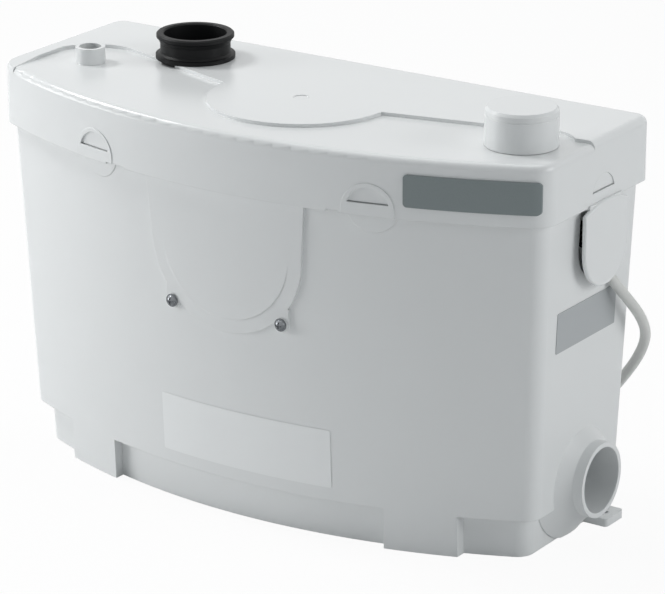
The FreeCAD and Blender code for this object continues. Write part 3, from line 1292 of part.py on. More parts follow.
def make_clamps():
    """Worm-drive bands on both ends of the hose, each with its screw housing."""
    inner = OUTLET_RADIUS + HOSE_WALL
    outer = inner + CLAMP_THICKNESS
    x = OUTLET_END_X + HOSE_GRIP / 2
    flat = cylinder_x(outer, x - CLAMP_WIDTH / 2, x + CLAMP_WIDTH / 2, SLEEVE_Y, OUTLET_Z)
    flat = flat.fuse(block(x - CLAMP_WIDTH / 2, x + CLAMP_WIDTH / 2, SLEEVE_Y - CLAMP_HOUSING_HALF,
                           SLEEVE_Y + CLAMP_HOUSING_HALF, OUTLET_Z + inner + 1,
                           OUTLET_Z + outer + CLAMP_HOUSING_HEIGHT))
    flat = flat.cut(cylinder_x(inner, x - CLAMP_WIDTH, x + CLAMP_WIDTH, SLEEVE_Y, OUTLET_Z))
    z = HOSE_TOP_Z - HOSE_GRIP / 2
    up = cylinder(outer, z - CLAMP_WIDTH / 2, z + CLAMP_WIDTH / 2, SLEEVE_X, SLEEVE_Y)
    up = up.fuse(block(SLEEVE_X - CLAMP_HOUSING_HALF, SLEEVE_X + CLAMP_HOUSING_HALF,
                       SLEEVE_Y - outer - CLAMP_HOUSING_HEIGHT, SLEEVE_Y - inner - 1,
                       z - CLAMP_WIDTH / 2, z + CLAMP_WIDTH / 2))
    up = up.cut(cylinder(inner, z - CLAMP_WIDTH, z + CLAMP_WIDTH, SLEEVE_X, SLEEVE_Y))
    return Part.makeCompound([flat, up])


def valve_cylinder(radius, z0, z1):
    return cylinder(radius, z0, z1, SLEEVE_X, SLEEVE_Y)


def pin_half_length():
    """The pin ends halfway into the chamber's wall."""
    chord = math.sqrt(VALVE_CHAMBER ** 2 - VALVE_PIN_OFFSET ** 2)
    return chord + (VALVE_RADIUS - VALVE_CHAMBER)


def make_valve_body():
    """Spout that the hose grips, seat, and the lower half of the flap chamber."""
    spout = valve_cylinder(OUTLET_RADIUS, HOSE_TOP_Z - HOSE_GRIP, VALVE_Z + 1)
    pot = valve_cylinder(VALVE_RADIUS, VALVE_Z, VALVE_JOINT_Z)
    rim = valve_cylinder(VALVE_RADIUS + VALVE_RIM, VALVE_JOINT_Z - VALVE_RIM_HEIGHT, VALVE_JOINT_Z)
    body = fuse_all([spout, pot, rim])
    seat_z = VALVE_Z + VALVE_SEAT
    body = body.cut(valve_cylinder(OUTLET_BORE, HOSE_TOP_Z - HOSE_GRIP - 1, seat_z + 1))
    body = body.cut(valve_cylinder(VALVE_CHAMBER, seat_z, VALVE_JOINT_Z + 1))
    half = pin_half_length()
    hole = cylinder_y(VALVE_PIN_RADIUS, SLEEVE_Y - half, SLEEVE_Y + half, SLEEVE_X - VALVE_PIN_OFFSET,
                      VALVE_PIN_Z)
    return body.cut(hole)


def make_valve_cover():
    """Upper half of the flap chamber and the socket that the riser stands in."""
    pot = valve_cylinder(VALVE_RADIUS, VALVE_JOINT_Z, VALVE_TOP_Z)
    rim = valve_cylinder(VALVE_RADIUS + VALVE_RIM, VALVE_JOINT_Z, VALVE_JOINT_Z + VALVE_RIM_HEIGHT)
    socket = valve_cylinder(RISER_RADIUS + VALVE_SOCKET_WALL, VALVE_TOP_Z - 1, VALVE_SOCKET_TOP_Z)
    body = fuse_all([pot, rim, socket])
    riser_z = VALVE_TOP_Z + RISER_SEAT
    body = body.cut(valve_cylinder(VALVE_CHAMBER, VALVE_JOINT_Z - 1, VALVE_TOP_Z - VALVE_TOP_WALL))
    body = body.cut(valve_cylinder(RISER_BORE, VALVE_JOINT_Z, riser_z + 1))
    return body.cut(valve_cylinder(RISER_RADIUS, riser_z, VALVE_SOCKET_TOP_Z + 1))


def make_valve_pin():
    half = pin_half_length()
    return cylinder_y(VALVE_PIN_RADIUS, SLEEVE_Y - half, SLEEVE_Y + half, SLEEVE_X - VALVE_PIN_OFFSET,
                      VALVE_PIN_Z)


def make_valve_flap():
    """Disc on the seat, with the knuckle that turns on the pin."""
    seat_z = VALVE_Z + VALVE_SEAT + SEAT_GAP
    pin_x = SLEEVE_X - VALVE_PIN_OFFSET
    knuckle_radius = VALVE_PIN_RADIUS + VALVE_KNUCKLE_WALL
    half = math.sqrt(VALVE_CHAMBER ** 2 - (VALVE_PIN_OFFSET + knuckle_radius) ** 2) - LOOSE_FIT
    disc = valve_cylinder(VALVE_FLAP_RADIUS, seat_z, seat_z + VALVE_FLAP_THICKNESS)
    strap = block(pin_x, pin_x + VALVE_STRAP_REACH, SLEEVE_Y - half, SLEEVE_Y + half,
                  seat_z + VALVE_STRAP[0], seat_z + VALVE_STRAP[1])
    knuckle = cylinder_y(knuckle_radius, SLEEVE_Y - half, SLEEVE_Y + half, pin_x, VALVE_PIN_Z)
    body = fuse_all([disc, strap, knuckle])
    return body.cut(cylinder_y(VALVE_PIN_RADIUS + RUNNING_FIT, SLEEVE_Y - half - 1, SLEEVE_Y + half + 1,
                               pin_x, VALVE_PIN_Z))


def make_riser():
    top = LID_UNDER_Z - SLEEVE_LIP - LOOSE_FIT
    return ring(RISER_RADIUS, RISER_BORE, VALVE_TOP_Z + RISER_SEAT, top, SLEEVE_X, SLEEVE_Y)


# Flap behind the side inlet
def make_inlet_flap():
    x1 = INLET_SEAT_X - SEAT_GAP
    x0 = x1 - FLAP_THICKNESS
    disc = cylinder_x(FLAP_RADIUS, x0, x1, INLET_Y, INLET_Z)
    strap = block(x0, x1, INLET_Y - FLAP_HALF_WIDTH, INLET_Y + FLAP_HALF_WIDTH,
                  INLET_Z + FLAP_STRAP_START, FLAP_PIN_Z)
    knuckle = cylinder_y(FLAP_KNUCKLE, INLET_Y - FLAP_HALF_WIDTH, INLET_Y + FLAP_HALF_WIDTH,
                         INLET_SEAT_X, FLAP_PIN_Z)
    body = fuse_all([disc, strap, knuckle])
    return body.cut(cylinder_y(FLAP_PIN_RADIUS + RUNNING_FIT, INLET_Y - FLAP_RADIUS, INLET_Y + FLAP_RADIUS,
                               INLET_SEAT_X, FLAP_PIN_Z))


def make_inlet_flap_pin():
    reach = FLAP_HALF_WIDTH + LOOSE_FIT + FLAP_EAR
    return cylinder_y(FLAP_PIN_RADIUS, INLET_Y - reach, INLET_Y + reach, INLET_SEAT_X, FLAP_PIN_Z)


# Level switch
def switch_cylinder(radius, z0, z1):
    return cylinder(radius, z0, z1, SWITCH_X, SWITCH_Y)


def make_pressure_tube():
    return ring(PRESSURE_TUBE_RADIUS, PRESSURE_TUBE_BORE, PRESSURE_TUBE_Z, HOUSING_Z, SWITCH_X, SWITCH_Y)


def make_membrane_housing():
    """Dish whose neck grips the pressure tube."""
    dish = switch_cylinder(HOUSING_RADIUS, HOUSING_Z, MEMBRANE_Z)
    neck_z = HOUSING_Z - HOUSING_NECK
    neck = switch_cylinder(PRESSURE_TUBE_RADIUS + HOUSING_NECK_WALL, neck_z, HOUSING_Z + 1)
    body = fuse_all([dish, neck])
    body = body.cut(switch_cylinder(HOUSING_RADIUS - HOUSING_WALL, HOUSING_Z + HOUSING_FLOOR, MEMBRANE_Z + 1))
    body = body.cut(switch_cylinder(PRESSURE_TUBE_RADIUS, neck_z - 1, HOUSING_Z))
    return body.cut(switch_cylinder(PRESSURE_TUBE_BORE, HOUSING_Z - 1, HOUSING_Z + HOUSING_FLOOR + 1))


def make_membrane():
    return switch_cylinder(HOUSING_RADIUS - MEMBRANE_EDGE, MEMBRANE_Z, PLATE_Z)


def make_switch_plate():
    body = switch_cylinder(HOUSING_RADIUS, PLATE_Z, BOX_Z)
    body = body.cut(switch_cylinder(HOUSING_RADIUS - HOUSING_WALL, PLATE_Z - 1, BOX_Z - HOUSING_FLOOR))
    return body.cut(switch_cylinder(PLUNGER_RADIUS + RUNNING_FIT, PLATE_Z, BOX_Z + 1))


def make_plunger():
    z0 = PLATE_Z + LOOSE_FIT
    head = switch_cylinder(PLUNGER_HEAD, z0, z0 + PLUNGER_HEAD_HEIGHT)
    stem = switch_cylinder(PLUNGER_RADIUS, z0 + 1, STEM_TOP_Z)
    return fuse_all([head, stem])


def make_spring():
    """Coil spring round the stem, between the plunger's head and the plate."""
    half_wire = SPRING_WIRE / 2
    low = PLATE_Z + LOOSE_FIT + PLUNGER_HEAD_HEIGHT + half_wire + SPRING_END_GAP
    high = BOX_Z - HOUSING_FLOOR - half_wire - SPRING_END_GAP
    radius = PLUNGER_RADIUS + SPRING_SPACE

    def spot(t):
        a = 2 * math.pi * t
        rise = (high - low) * t / SPRING_TURNS
        return V(SWITCH_X + radius * math.cos(a), SWITCH_Y + radius * math.sin(a), low + rise)

    return wound_tube(spot, SPRING_TURNS, half_wire, "spring")


def make_microswitch():
    z0 = BUTTON_Z
    half_x, half_y = MICROSWITCH_HALF
    top = z0 + MICROSWITCH_HEIGHT
    body = block(SWITCH_X - half_x, SWITCH_X + half_x, SWITCH_Y - half_y, SWITCH_Y + half_y, z0 + 0.5, top)
    button = switch_cylinder(MICROSWITCH_BUTTON, z0, z0 + 1)
    tabs = [contact_tab(x, SWITCH_Y, top, TAB_WIDTH, TAB_THICKNESS)
            for x in (SWITCH_X - TERMINAL_PITCH, SWITCH_X, SWITCH_X + TERMINAL_PITCH)]
    return fuse_all([body, button] + tabs)


def contact_tab(x, y, z, width, depth):
    return block(x - width / 2, x + width / 2, y - depth / 2, y + depth / 2, z - 1, z + TAB_LENGTH)


# Electrics
def make_box():
    """Open-topped box on the switch plate and two ribs of the tank."""
    body = block(BOX_X[0], BOX_X[1], BOX_Y[0], BOX_Y[1], BOX_Z, BOX_TOP_Z)
    inner = block(BOX_X[0] + BOX_WALL, BOX_X[1] - BOX_WALL, BOX_Y[0] + BOX_WALL, BOX_Y[1] - BOX_WALL,
                  BOX_Z + BOX_WALL, BOX_TOP_Z + 1)
    body = body.cut(inner).cut(switch_cylinder(PLUNGER_RADIUS + BOX_WALL, BOX_Z - 1, BOX_Z + BOX_WALL + 1))
    posts = [cylinder(BOLT_RADIUS, BOX_Z + BOX_WALL - 0.5, BUTTON_Z + 0.5, SWITCH_X + sign * MICROSWITCH_POST,
                      SWITCH_Y) for sign in (-1, 1)]
    return body.multiFuse(posts).removeSplitter()


def make_box_cover():
    plate = block(BOX_X[0], BOX_X[1], BOX_Y[0], BOX_Y[1], BOX_TOP_Z, BOX_TOP_Z + BOX_COVER)
    gap = BOX_WALL + SEAT_GAP
    lip = block(BOX_X[0] + gap, BOX_X[1] - gap, BOX_Y[0] + gap, BOX_Y[1] - gap,
                BOX_TOP_Z - BOX_COVER, BOX_TOP_Z + 1)
    return fuse_all([plate, lip])


def make_capacitor():
    z0 = BOX_Z + BOX_WALL
    top = z0 + CAPACITOR_HEIGHT
    can = cylinder(CAPACITOR_RADIUS, z0, top, CAPACITOR_X, CAPACITOR_Y)
    tabs = [contact_tab(CAPACITOR_X + sign * CAPACITOR_RADIUS / 3, CAPACITOR_Y, top, TAB_THICKNESS, TAB_WIDTH)
            for sign in (-1, 1)]
    return fuse_all([can] + tabs)


def make_terminal_block():
    """Strip of terminals with a screw hole in each."""
    z0 = BOX_Z + BOX_WALL
    top = z0 + TERMINAL_HEIGHT
    x0 = BOX_X[0] + TERMINAL_FROM_WALL[0]
    y0 = BOX_Y[0] + TERMINAL_FROM_WALL[1]
    half = TERMINAL_PITCH / 2
    body = block(x0, x0 + TERMINAL_COUNT * TERMINAL_PITCH, y0, y0 + TERMINAL_DEPTH, z0, top)
    holes = []
    for i in range(TERMINAL_COUNT):
        x = x0 + half + TERMINAL_PITCH * i
        slot_x = x + half - TERMINAL_SLOT / 2
        holes.append(cylinder(half / 2, top - TERMINAL_HOLE_DEPTH, top + 1, x, y0 + TERMINAL_DEPTH / 2))
        holes.append(block(slot_x, slot_x + TERMINAL_SLOT, y0 - 1, y0 + TERMINAL_DEPTH + 1,
                           top - TERMINAL_SLOT_DEPTH, top + 1))
    return body.cut(holes[0].multiFuse(holes[1:]))


def make_inner_lead():
    return cylinder_x(CORD_RADIUS, BOX_X[1], NICHE_FLOOR_X - NICHE_WALL, INNER_LEAD_Y, INNER_LEAD_Z)


# Supply cord
def cord_direction(route):
    step = V(*route[1]) - V(*route[0])
    step.normalize()
    return step


def make_gland():
    """Tapered boot on a foot that stands on the niche's floor."""
    tip = V(*CORD_ROUTE[0])
    along = cord_direction(CORD_ROUTE)
    wide, narrow = BOOT_WALLS
    back = tip - along * BOOT_LENGTH
    boot = Part.makeCone(CORD_RADIUS + wide, CORD_RADIUS + narrow, BOOT_LENGTH, back, along)
    foot_half = CORD_RADIUS + wide
    foot = block(NICHE_FLOOR_X, back.x + foot_half, back.y - foot_half, back.y + foot_half,
                 back.z - foot_half, back.z + foot_half)
    boot = boot.common(block(NICHE_FLOOR_X, HALF_LENGTH, -FRONT_REACH, BACK_REACH, 0, NICHE_TOP_Z))
    return boot.fuse(foot).removeSplitter()


def rounded_route(points, label):
    """Straight runs joined by tangent arcs; prints the arcs' radii."""
    p = [V(*q) for q in points]
    edges = []
    at = p[0]
    radii = []
    for i in range(1, len(p) - 1):
        before = p[i] - p[i - 1]
        after = p[i + 1] - p[i]
        trim = CORD_ARC_SHARE * min(before.Length, after.Length)
        before.normalize()
        after.normalize()
        turn = before.getAngle(after)
        radii.append(trim / math.tan(turn / 2))
        enter = p[i] - before * trim
        leave = p[i] + after * trim
        inward = after - before
        inward.normalize()
        bulge = radii[-1] * (1 / math.cos(turn / 2) - 1)
        edges.append(line_edge(at, enter))
        edges.append(arc_edge(enter, p[i] + inward * bulge, leave))
        at = leave
    edges.append(line_edge(at, p[-1]))
    print(label, "radii", [round(r) for r in radii])
    return Part.Wire(edges)


def tube_along(wire, start, along, radius, label):
    circle = Part.Wire(Part.makeCircle(radius, start, along))
    solid = wire.makePipeShell([circle], True, False)
    expected = math.pi * radius ** 2 * wire.Length
    print(label, "length", round(wire.Length), "volume ratio", round(solid.Volume / expected, 4))
    return solid


def make_cord(points, label):
    wire = rounded_route(points, label)
    return tube_along(wire, V(*points[0]), cord_direction(points), CORD_RADIUS, label)


def two_arcs(p0, t0, p1, t1):
    """Two tangent arcs that leave p0 along t0 and reach p1 along t1."""
    gap = p1 - p0
    both = t0 + t1
    a = 2 * (1 - t0.dot(t1))
    b = 2 * gap.dot(both)
    c = -gap.dot(gap)
    reach = (-b + math.sqrt(b * b - 4 * a * c)) / (2 * a) if abs(a) > 1e-9 else -c / b
    joint = (p0 + t0 * reach + p1 - t1 * reach) * 0.5
    middle = (p1 - t1 * reach) - (p0 + t0 * reach)
    middle.normalize()

    def arc_through(start, direction, end):
        chord = end - start
        angle = direction.getAngle(chord)
        across = chord - direction * chord.dot(direction)
        across.normalize()
        half = chord.Length / 2
        sag = half * math.tan(angle / 2)
        normal = direction * math.sin(angle) - across * math.cos(angle)
        return arc_edge(start, start + chord * 0.5 + normal * sag, end)

    return [arc_through(p0, t0, joint), arc_through(joint, middle, p1)]


def least_gap(wire, diameter):
    """Smallest gap between the turns, measured on points of the centre line."""
    points = wire.discretize(Distance=diameter * 0.3)
    skip = 10
    least = 1e9
    for i in range(0, len(points), 2):
        for j in range(i + skip, len(points)):
            least = min(least, (points[i] - points[j]).Length)
    return least - diameter


def wound_tube(spot, turns, radius, label):
    """Tube along spot(turn), on two tangent arcs for each quarter turn."""
    small = 0.001

    def along(t):
        step = spot(min(t + small, turns)) - spot(max(t - small, 0.0))
        step.normalize()
        return step

    count = int(round(turns * 4))
    edges = []
    for i in range(count):
        t0 = turns * i / count
        t1 = turns * (i + 1) / count
        edges += two_arcs(spot(t0), along(t0), spot(t1), along(t1))
    wire = Part.Wire(edges)
    print(label, "least gap", round(least_gap(wire, 2 * radius), 2))
    return tube_along(wire, spot(0.0), along(0.0), radius, label)


def coil_spot(t):
    """Place on the coil after t turns: in along the floor, up a layer in half a turn, out again."""
    inner = COIL_OUTER - COIL_STEP * COIL_TURNS_IN
    height = COIL_FLOOR_GAP + CORD_RADIUS
    if t <= COIL_TURNS_IN:
        radius = COIL_OUTER - COIL_STEP * t
    elif t <= COIL_TURNS_IN + COIL_CLIMB_TURNS:
        share = (t - COIL_TURNS_IN) / COIL_CLIMB_TURNS
        radius = inner
        height += COIL_LIFT * share * share * (3 - 2 * share)
    else:
        radius = inner + COIL_STEP * (t - COIL_TURNS_IN - COIL_CLIMB_TURNS)
        height += COIL_LIFT
    a = -math.pi / 2 - 2 * math.pi * t
    return V(COIL_CENTRE[0] + radius * math.cos(a), COIL_CENTRE[1] + radius * math.sin(a), height)


def make_coil():
    return wound_tube(coil_spot, 2 * COIL_TURNS_IN + COIL_CLIMB_TURNS, CORD_RADIUS, "coil")


def plug_frame():
    tip = V(*TAIL_ROUTE[-1])
    along = tip - V(*TAIL_ROUTE[-2])
    along.z = 0
    along.normalize()
    return tip, along


def make_plug_body():
    """Round plug lying on the floor: ribbed boot, cone and grip."""
    tip, along = plug_frame()
    thin, thick = PLUG_BOOT_WALL
    boot = Part.makeCone(CORD_RADIUS + thin, CORD_RADIUS + thick, PLUG_BOOT, tip, along)
    shoulder = tip + along * PLUG_BOOT
    start, end = PLUG_CONE_STEP
    cone = Part.makeCone(CORD_RADIUS + start, PLUG_RADIUS - end, PLUG_CONE, shoulder, along)
    grip = Part.makeCylinder(PLUG_RADIUS, PLUG_LENGTH - PLUG_CONE, shoulder + along * PLUG_CONE, along)
    return fuse_all([boot, cone, grip])


def make_plug_pins():
    tip, along = plug_frame()
    face = tip + along * (PLUG_BOOT + PLUG_LENGTH)
    across = V(-along.y, along.x, 0)
    pins = []
    for sign in (-1, 1):
        base = face + across * (sign * PLUG_PIN_SPACING / 2)
        pins.append(Part.makeCylinder(PLUG_PIN_RADIUS, PLUG_PIN_LENGTH, base, along))
    return Part.makeCompound(pins)


PIECES = {
    "tank": make_tank,
    "lid": make_lid,
    "lid_gasket": make_gasket,
    "vent_filter": make_filter,
    "inlet_cap": make_cap,
    "cap_o_ring": make_o_ring,
    "discharge_sleeve": make_sleeve,
    "nameplate": make_nameplate,
    "front_label": make_front_label,
    "rating_label": make_rating_label,
    "front_screws": make_screws,
    "front_screw_washers": make_washers,
    "front_screw_nuts": make_nuts,
    "suction_cover": make_suction_cover,
    "volute": make_volute,
    "cutter_ring": make_cutter_ring,
    "pump_feet": make_pump_feet,
    "pump_bolts": make_pump_bolts,
    "motor_flange": make_motor_flange,
    "motor_can": make_motor_can,
    "motor_end_cap": make_end_cap,
    "lower_bearing": lambda: make_bearing(CAN_Z - BEARING_HEIGHT),
    "upper_bearing": lambda: make_bearing(CAN_TOP_Z - BEARING_HEIGHT),
    "shaft_seal": make_seal,
    "stator_core": make_stator,
    "stator_windings": make_windings,
    "shaft": make_shaft,
    "rotor_core": make_rotor_core,
    "impeller": make_impeller,
    "cutter_blade": make_cutter,
    "impeller_nut": make_impeller_nut,
    "discharge_elbow": make_hose,
    "hose_clamps": make_clamps,
    "valve_body": make_valve_body,
    "valve_cover": make_valve_cover,
    "valve_pin": make_valve_pin,
    "valve_flap": make_valve_flap,
    "discharge_riser": make_riser,
    "inlet_flap": make_inlet_flap,
    "inlet_flap_pin": make_inlet_flap_pin,
    "pressure_tube": make_pressure_tube,
    "membrane_housing": make_membrane_housing,
    "membrane": make_membrane,
    "switch_plate": make_switch_plate,
    "switch_plunger": make_plunger,
    "plunger_spring": make_spring,
    "microswitch": make_microswitch,
    "electrics_box": make_box,
    "electrics_box_cover": make_box_cover,
    "capacitor": make_capacitor,
    "terminal_block": make_terminal_block,
    "inner_lead": make_inner_lead,
    "cable_gland": make_gland,
    "supply_cord": lambda: make_cord(CORD_ROUTE, "cord"),
    "cord_coil": make_coil,
    "cord_tail": lambda: make_cord(TAIL_ROUTE, "tail"),
    "plug_body": make_plug_body,
    "plug_pins": make_plug_pins,
}

os.makedirs("parts", exist_ok=True)
for node, make in PIECES.items():
    shape = make()
    box = shape.BoundBox
    print(node, len(shape.Solids), shape.isValid(), round(shape.Volume / 1000, 2),
          [round(v, 1) for v in (box.XMin, box.XMax, box.YMin, box.YMax, box.ZMin, box.ZMax)])
    shape.exportStep("parts/" + node + ".step")
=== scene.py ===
import json
import math

import bmesh
import bpy
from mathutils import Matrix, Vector


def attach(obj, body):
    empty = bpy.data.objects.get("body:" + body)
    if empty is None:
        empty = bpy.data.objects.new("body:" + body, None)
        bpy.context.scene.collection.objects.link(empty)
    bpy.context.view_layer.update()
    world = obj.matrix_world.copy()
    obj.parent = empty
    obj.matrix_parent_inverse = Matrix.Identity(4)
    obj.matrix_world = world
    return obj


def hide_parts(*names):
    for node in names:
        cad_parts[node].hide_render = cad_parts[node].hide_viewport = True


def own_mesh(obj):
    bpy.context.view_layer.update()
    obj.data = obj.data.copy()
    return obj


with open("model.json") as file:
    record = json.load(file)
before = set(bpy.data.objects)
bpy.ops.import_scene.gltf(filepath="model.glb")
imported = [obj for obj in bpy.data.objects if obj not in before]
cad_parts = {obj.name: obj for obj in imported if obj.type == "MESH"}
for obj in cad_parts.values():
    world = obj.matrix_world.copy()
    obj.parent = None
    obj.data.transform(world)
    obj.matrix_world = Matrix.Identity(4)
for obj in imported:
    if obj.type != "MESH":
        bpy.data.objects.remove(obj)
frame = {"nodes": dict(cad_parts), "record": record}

bl_info = {
    "name": "Lifting Station Finish",
    "version": (1, 0, 0),
    "blender": (4, 5, 0),
    "location": "View3D > Sidebar > Station",
    "description": "Finishes a sewage lifting station: materials, fine pieces, supply cord and studio",
    "category": "Object",
}

MM = 0.001

# Moulded plastic: size of the flow clouds, and how far the grain sways the roughness
CLOUD_MM = 140
ROUGHNESS_SWAY = 0.05
BEVEL_SAMPLES = 8

# Where the photograph was taken from, in metres and degrees, and its focal length and width in pixels
CAMERA_PLACE = Vector((1.27869, -1.85812, 0.92148))
CAMERA_AZIMUTH = 33.94
CAMERA_ELEVATION = 19.28
FOCAL_PIXELS = 3644.77
FRAME_WIDTH = 665
SENSOR = 36.0

# The cord's route from the gland to the coil, and from the coil to the plug
CORD_ROUTE = [
    (0.1975, 0.0360, 0.1960),
    (0.2030, 0.0435, 0.1825),
    (0.2085, 0.0515, 0.1680),
    (0.2125, 0.0640, 0.1535),
    (0.2146, 0.0780, 0.1380),
    (0.2113, 0.0915, 0.1210),
    (0.2015, 0.1000, 0.1025),
    (0.1875, 0.1040, 0.0830),
    (0.1715, 0.1043, 0.0625),
    (0.1550, 0.1038, 0.0425),
    (0.1380, 0.1043, 0.0245),
    (0.1200, 0.1052, 0.0125),
    (0.1010, 0.1056, 0.0068),
    (0.0810, 0.1053, 0.0048),
    (0.0605, 0.1057, 0.0043),
    (0.0400, 0.1054, 0.0044),
]
TAIL_ROUTE = [
    (0.0400, 0.1054, 0.0128),
    (0.0200, 0.1054, 0.0130),
    (0.0000, 0.1068, 0.0139),
    (-0.0200, 0.1100, 0.0154),
    (-0.0400, 0.1146, 0.0172),
    (-0.0600, 0.1205, 0.0181),
]
COIL_CENTRE = Vector((0.0400, 0.1534))
COIL_OUTER = 0.048
COIL_STEP = 0.0087
COIL_TURNS_IN = 2.25
COIL_CLIMB_TURNS = 0.5
COIL_LIFT = 0.0084
COIL_LOW = 0.0044
COIL_POINTS_PER_TURN = 20

SPLINE_ORDER = 3

# Band round the coil: its room beside and above the turns' centres, its corners and its thickness
TIE_ROOM_BESIDE = 0.0038
TIE_ROOM_ABOVE = 0.0036
TIE_CORNER = 0.0034
TIE_CORNER_STEPS = 6
TIE_THICKNESS = 0.0006

# Ribs on the cord's strain relief, in a row between its plain root and its plain tip
BOOT_LENGTH = 0.022
BOOT_PLAIN_ROOT = 0.004
BOOT_PLAIN_ENDS = 0.006
BOOT_TIP_RADIUS = 0.0046
BOOT_TAPER = 0.0007
BOOT_RIB_HALF_WIDTH = 0.0008
BOOT_RIB_ROOT = 0.0006
BOOT_RIB_HEIGHT = 0.0011
BOOT_RIB_STEPS = 6
BOOT_SEGMENTS = 40

# Ribs of the plug's grip, as (distance past the cord's end, distance from the plug's middle)
GRIP_PROFILE = ((0.0355, 0.0174), (0.037, 0.0178), (0.048, 0.0178), (0.056, 0.0178), (0.0575, 0.0174))
GRIP_RIBS = 20
GRIP_RIB_RADIUS = 0.0008
# Ribs on the grip's underside, whose way out points down by more than this, are left out
GRIP_LOWEST = -0.85

# Middle of the pump and motor
PUMP_PLACE = (0.005, -0.005)

# Winding heads: each one's outer end with the way from there to the core, and its bundle of wires
WINDING_ENDS = ((0.1035, 1), (0.1835, -1))
WINDING_LAYERS = 5
WINDING_ROWS = 4
WINDING_POINTS = 72
WINDING_INNER_RADIUS = 0.0352
WINDING_LAYER_STEP = 0.0029
WINDING_FIRST_ROW = 0.0016
WINDING_ROW_STEP = 0.0028
WINDING_WIRE_RADIUS = 0.0014
# Each wire sways a little out and in, and up and down, on its way round
SWAYS_OUT = 9
SWAYS_UP = 18
SWAY_OUT = 0.0004
SWAY_UP = 0.0005
LAYER_PHASE_OUT = 1.3
ROW_PHASE_OUT = 0.8
LAYER_PHASE_UP = 2.1

# Lacing round each bundle
LACE_TURNS = 18
LACE_POINTS = 16
LACE_WIRE_RADIUS = 0.0005
LACE_MIDDLE_RADIUS = 0.0410
LACE_MIDDLE_HEIGHT = 0.0060
LACE_REACH_OUT = 0.0075
LACE_REACH_UP = 0.0059

# Slotted screw heads, in shares of their radius and height; the slot's floor lies inside the base
SLOT_HALF_WIDTH = 0.16
SLOT_FLOOR = 0.45
HEAD_BASE = 0.5
HEAD_SHOULDER = 0.85
HEAD_CROWN_RADIUS = 0.86
HEAD_SEGMENTS = 32
HEAD_HALF_STEPS = 14

# Worm screws of the hose clamps: middle of each head's underside and the way that it points
CLAMP_SCREWS = (((-0.0675, 0.0325, 0.0795), (0, -1, 0)), ((-0.1015, 0.0140, 0.0925), (1, 0, 0)))
CLAMP_HEAD_RADIUS = 0.0026
CLAMP_HEAD_HEIGHT = 0.0038
TERMINAL_COUNT = 4
TERMINAL_PITCH = 0.009
TERMINAL_FIRST = (0.0765, 0.0260, 0.1862)
TERMINAL_HEAD_RADIUS = 0.0020
TERMINAL_HEAD_HEIGHT = 0.0024

# Studio: each lamp's place and size, and what they all point at
LAMPS = {
    "key": ((-1.6, -0.15, 1.75), 0.5),
    "front": ((-2.3, -1.25, 0.55), 1.5),
    "fill": ((2.0, 0.5, 0.85), 1.1),
    "top": ((-0.2, 0.3, 2.2), 1.6),
}
LAMP_TARGET = Vector((0, 0, 0.13))
FLOOR_HALF = 6.0
FLOOR_DROP = 0.0004
# How much of the floor the camera sees as plain white
FLOOR_WHITENESS = 0.93
SKY_COLOUR = (0.9, 0.96, 1, 1)
WHITE = (1, 1, 1, 1)
CAMERA_REACH = 50.0


# Colour
def linear(hex_code):
    """sRGB hex to the linear colour that a shader takes."""
    parts = [int(hex_code[i:i + 2], 16) / 255 for i in (1, 3, 5)]
    return tuple(c / 12.92 if c <= 0.04045 else ((c + 0.055) / 1.055) ** 2.4 for c in parts)


def colour_property(name, description, hex_code):
    """A colour that can be changed in the panel."""
    return bpy.props.FloatVectorProperty(name=name, description=description, subtype="COLOR", size=3,
                                         min=0.0, max=1.0, default=linear(hex_code))


class StationColours(bpy.types.PropertyGroup):
    """Colours of the station's finishes."""
    tank: colour_property("Tank", "Moulded tank", "#E3E5E5")
    lid: colour_property("Lid", "Moulded lid and cap", "#E5E7E7")
    rubber: colour_property("Rubber", "Discharge sleeve and seals", "#101112")
    nameplate: colour_property("Nameplate", "Grey plate on the lid's rim", "#7F8889")
    label: colour_property("Label", "Bare label on the front", "#ECEEEE")
    rating: colour_property("Rating label", "Bare silver label on the right-hand wall", "#AEB2B4")
    cord: colour_property("Cord", "Cord's sheath", "#D5D6D3")
    floor: colour_property("Floor", "Floor and backdrop", "#F4F4F4")


class StationSizes(bpy.types.PropertyGroup):
    """Sizes of the pieces that are made here."""
    cord_diameter: bpy.props.FloatProperty(
        name="Cord diameter", description="Outer diameter of the supply cord",
        default=0.007, min=0.004, max=0.012, unit="LENGTH")
    tie_width: bpy.props.FloatProperty(
        name="Tie width", description="Width of the band round the coil",
        default=0.008, min=0.003, max=0.02, unit="LENGTH")
    rib_count: bpy.props.IntProperty(
        name="Boot ribs", description="Ribs on the cord's strain relief", default=7, min=2, max=20)


class StationStudio(bpy.types.PropertyGroup):
    """Lamps of the studio."""
    key_power: bpy.props.FloatProperty(
        name="Key lamp", description="Lamp at the left that casts the soft shadows", default=17.0, min=0.0,
        subtype="POWER")
    front_power: bpy.props.FloatProperty(
        name="Front lamp", description="Large soft lamp at the front left", default=34.0, min=0.0,
        subtype="POWER")
    fill_power: bpy.props.FloatProperty(
        name="Fill lamp", description="Soft lamp at the right", default=14.5, min=0.0,
        subtype="POWER")
    top_power: bpy.props.FloatProperty(
        name="Top lamp", description="Soft lamp overhead", default=13.5, min=0.0,
        subtype="POWER")
    world_strength: bpy.props.FloatProperty(
        name="World", description="Even light from all round", default=0.24, min=0.0, max=2.0)


# Materials
def add_node(tree, kind, sockets=None, links=None, **fields):
    """Adds a node, sets its fields and sockets, and links its inputs from other outputs."""
    made = tree.nodes.new(kind)
    for field, value in fields.items():
        setattr(made, field, value)
    for socket, value in (sockets or {}).items():
        made.inputs[socket].default_value = value
    for socket, output in (links or {}).items():
        tree.links.new(output, made.inputs[socket])
    return made


def rgba(colour):
    return (*colour, 1.0)


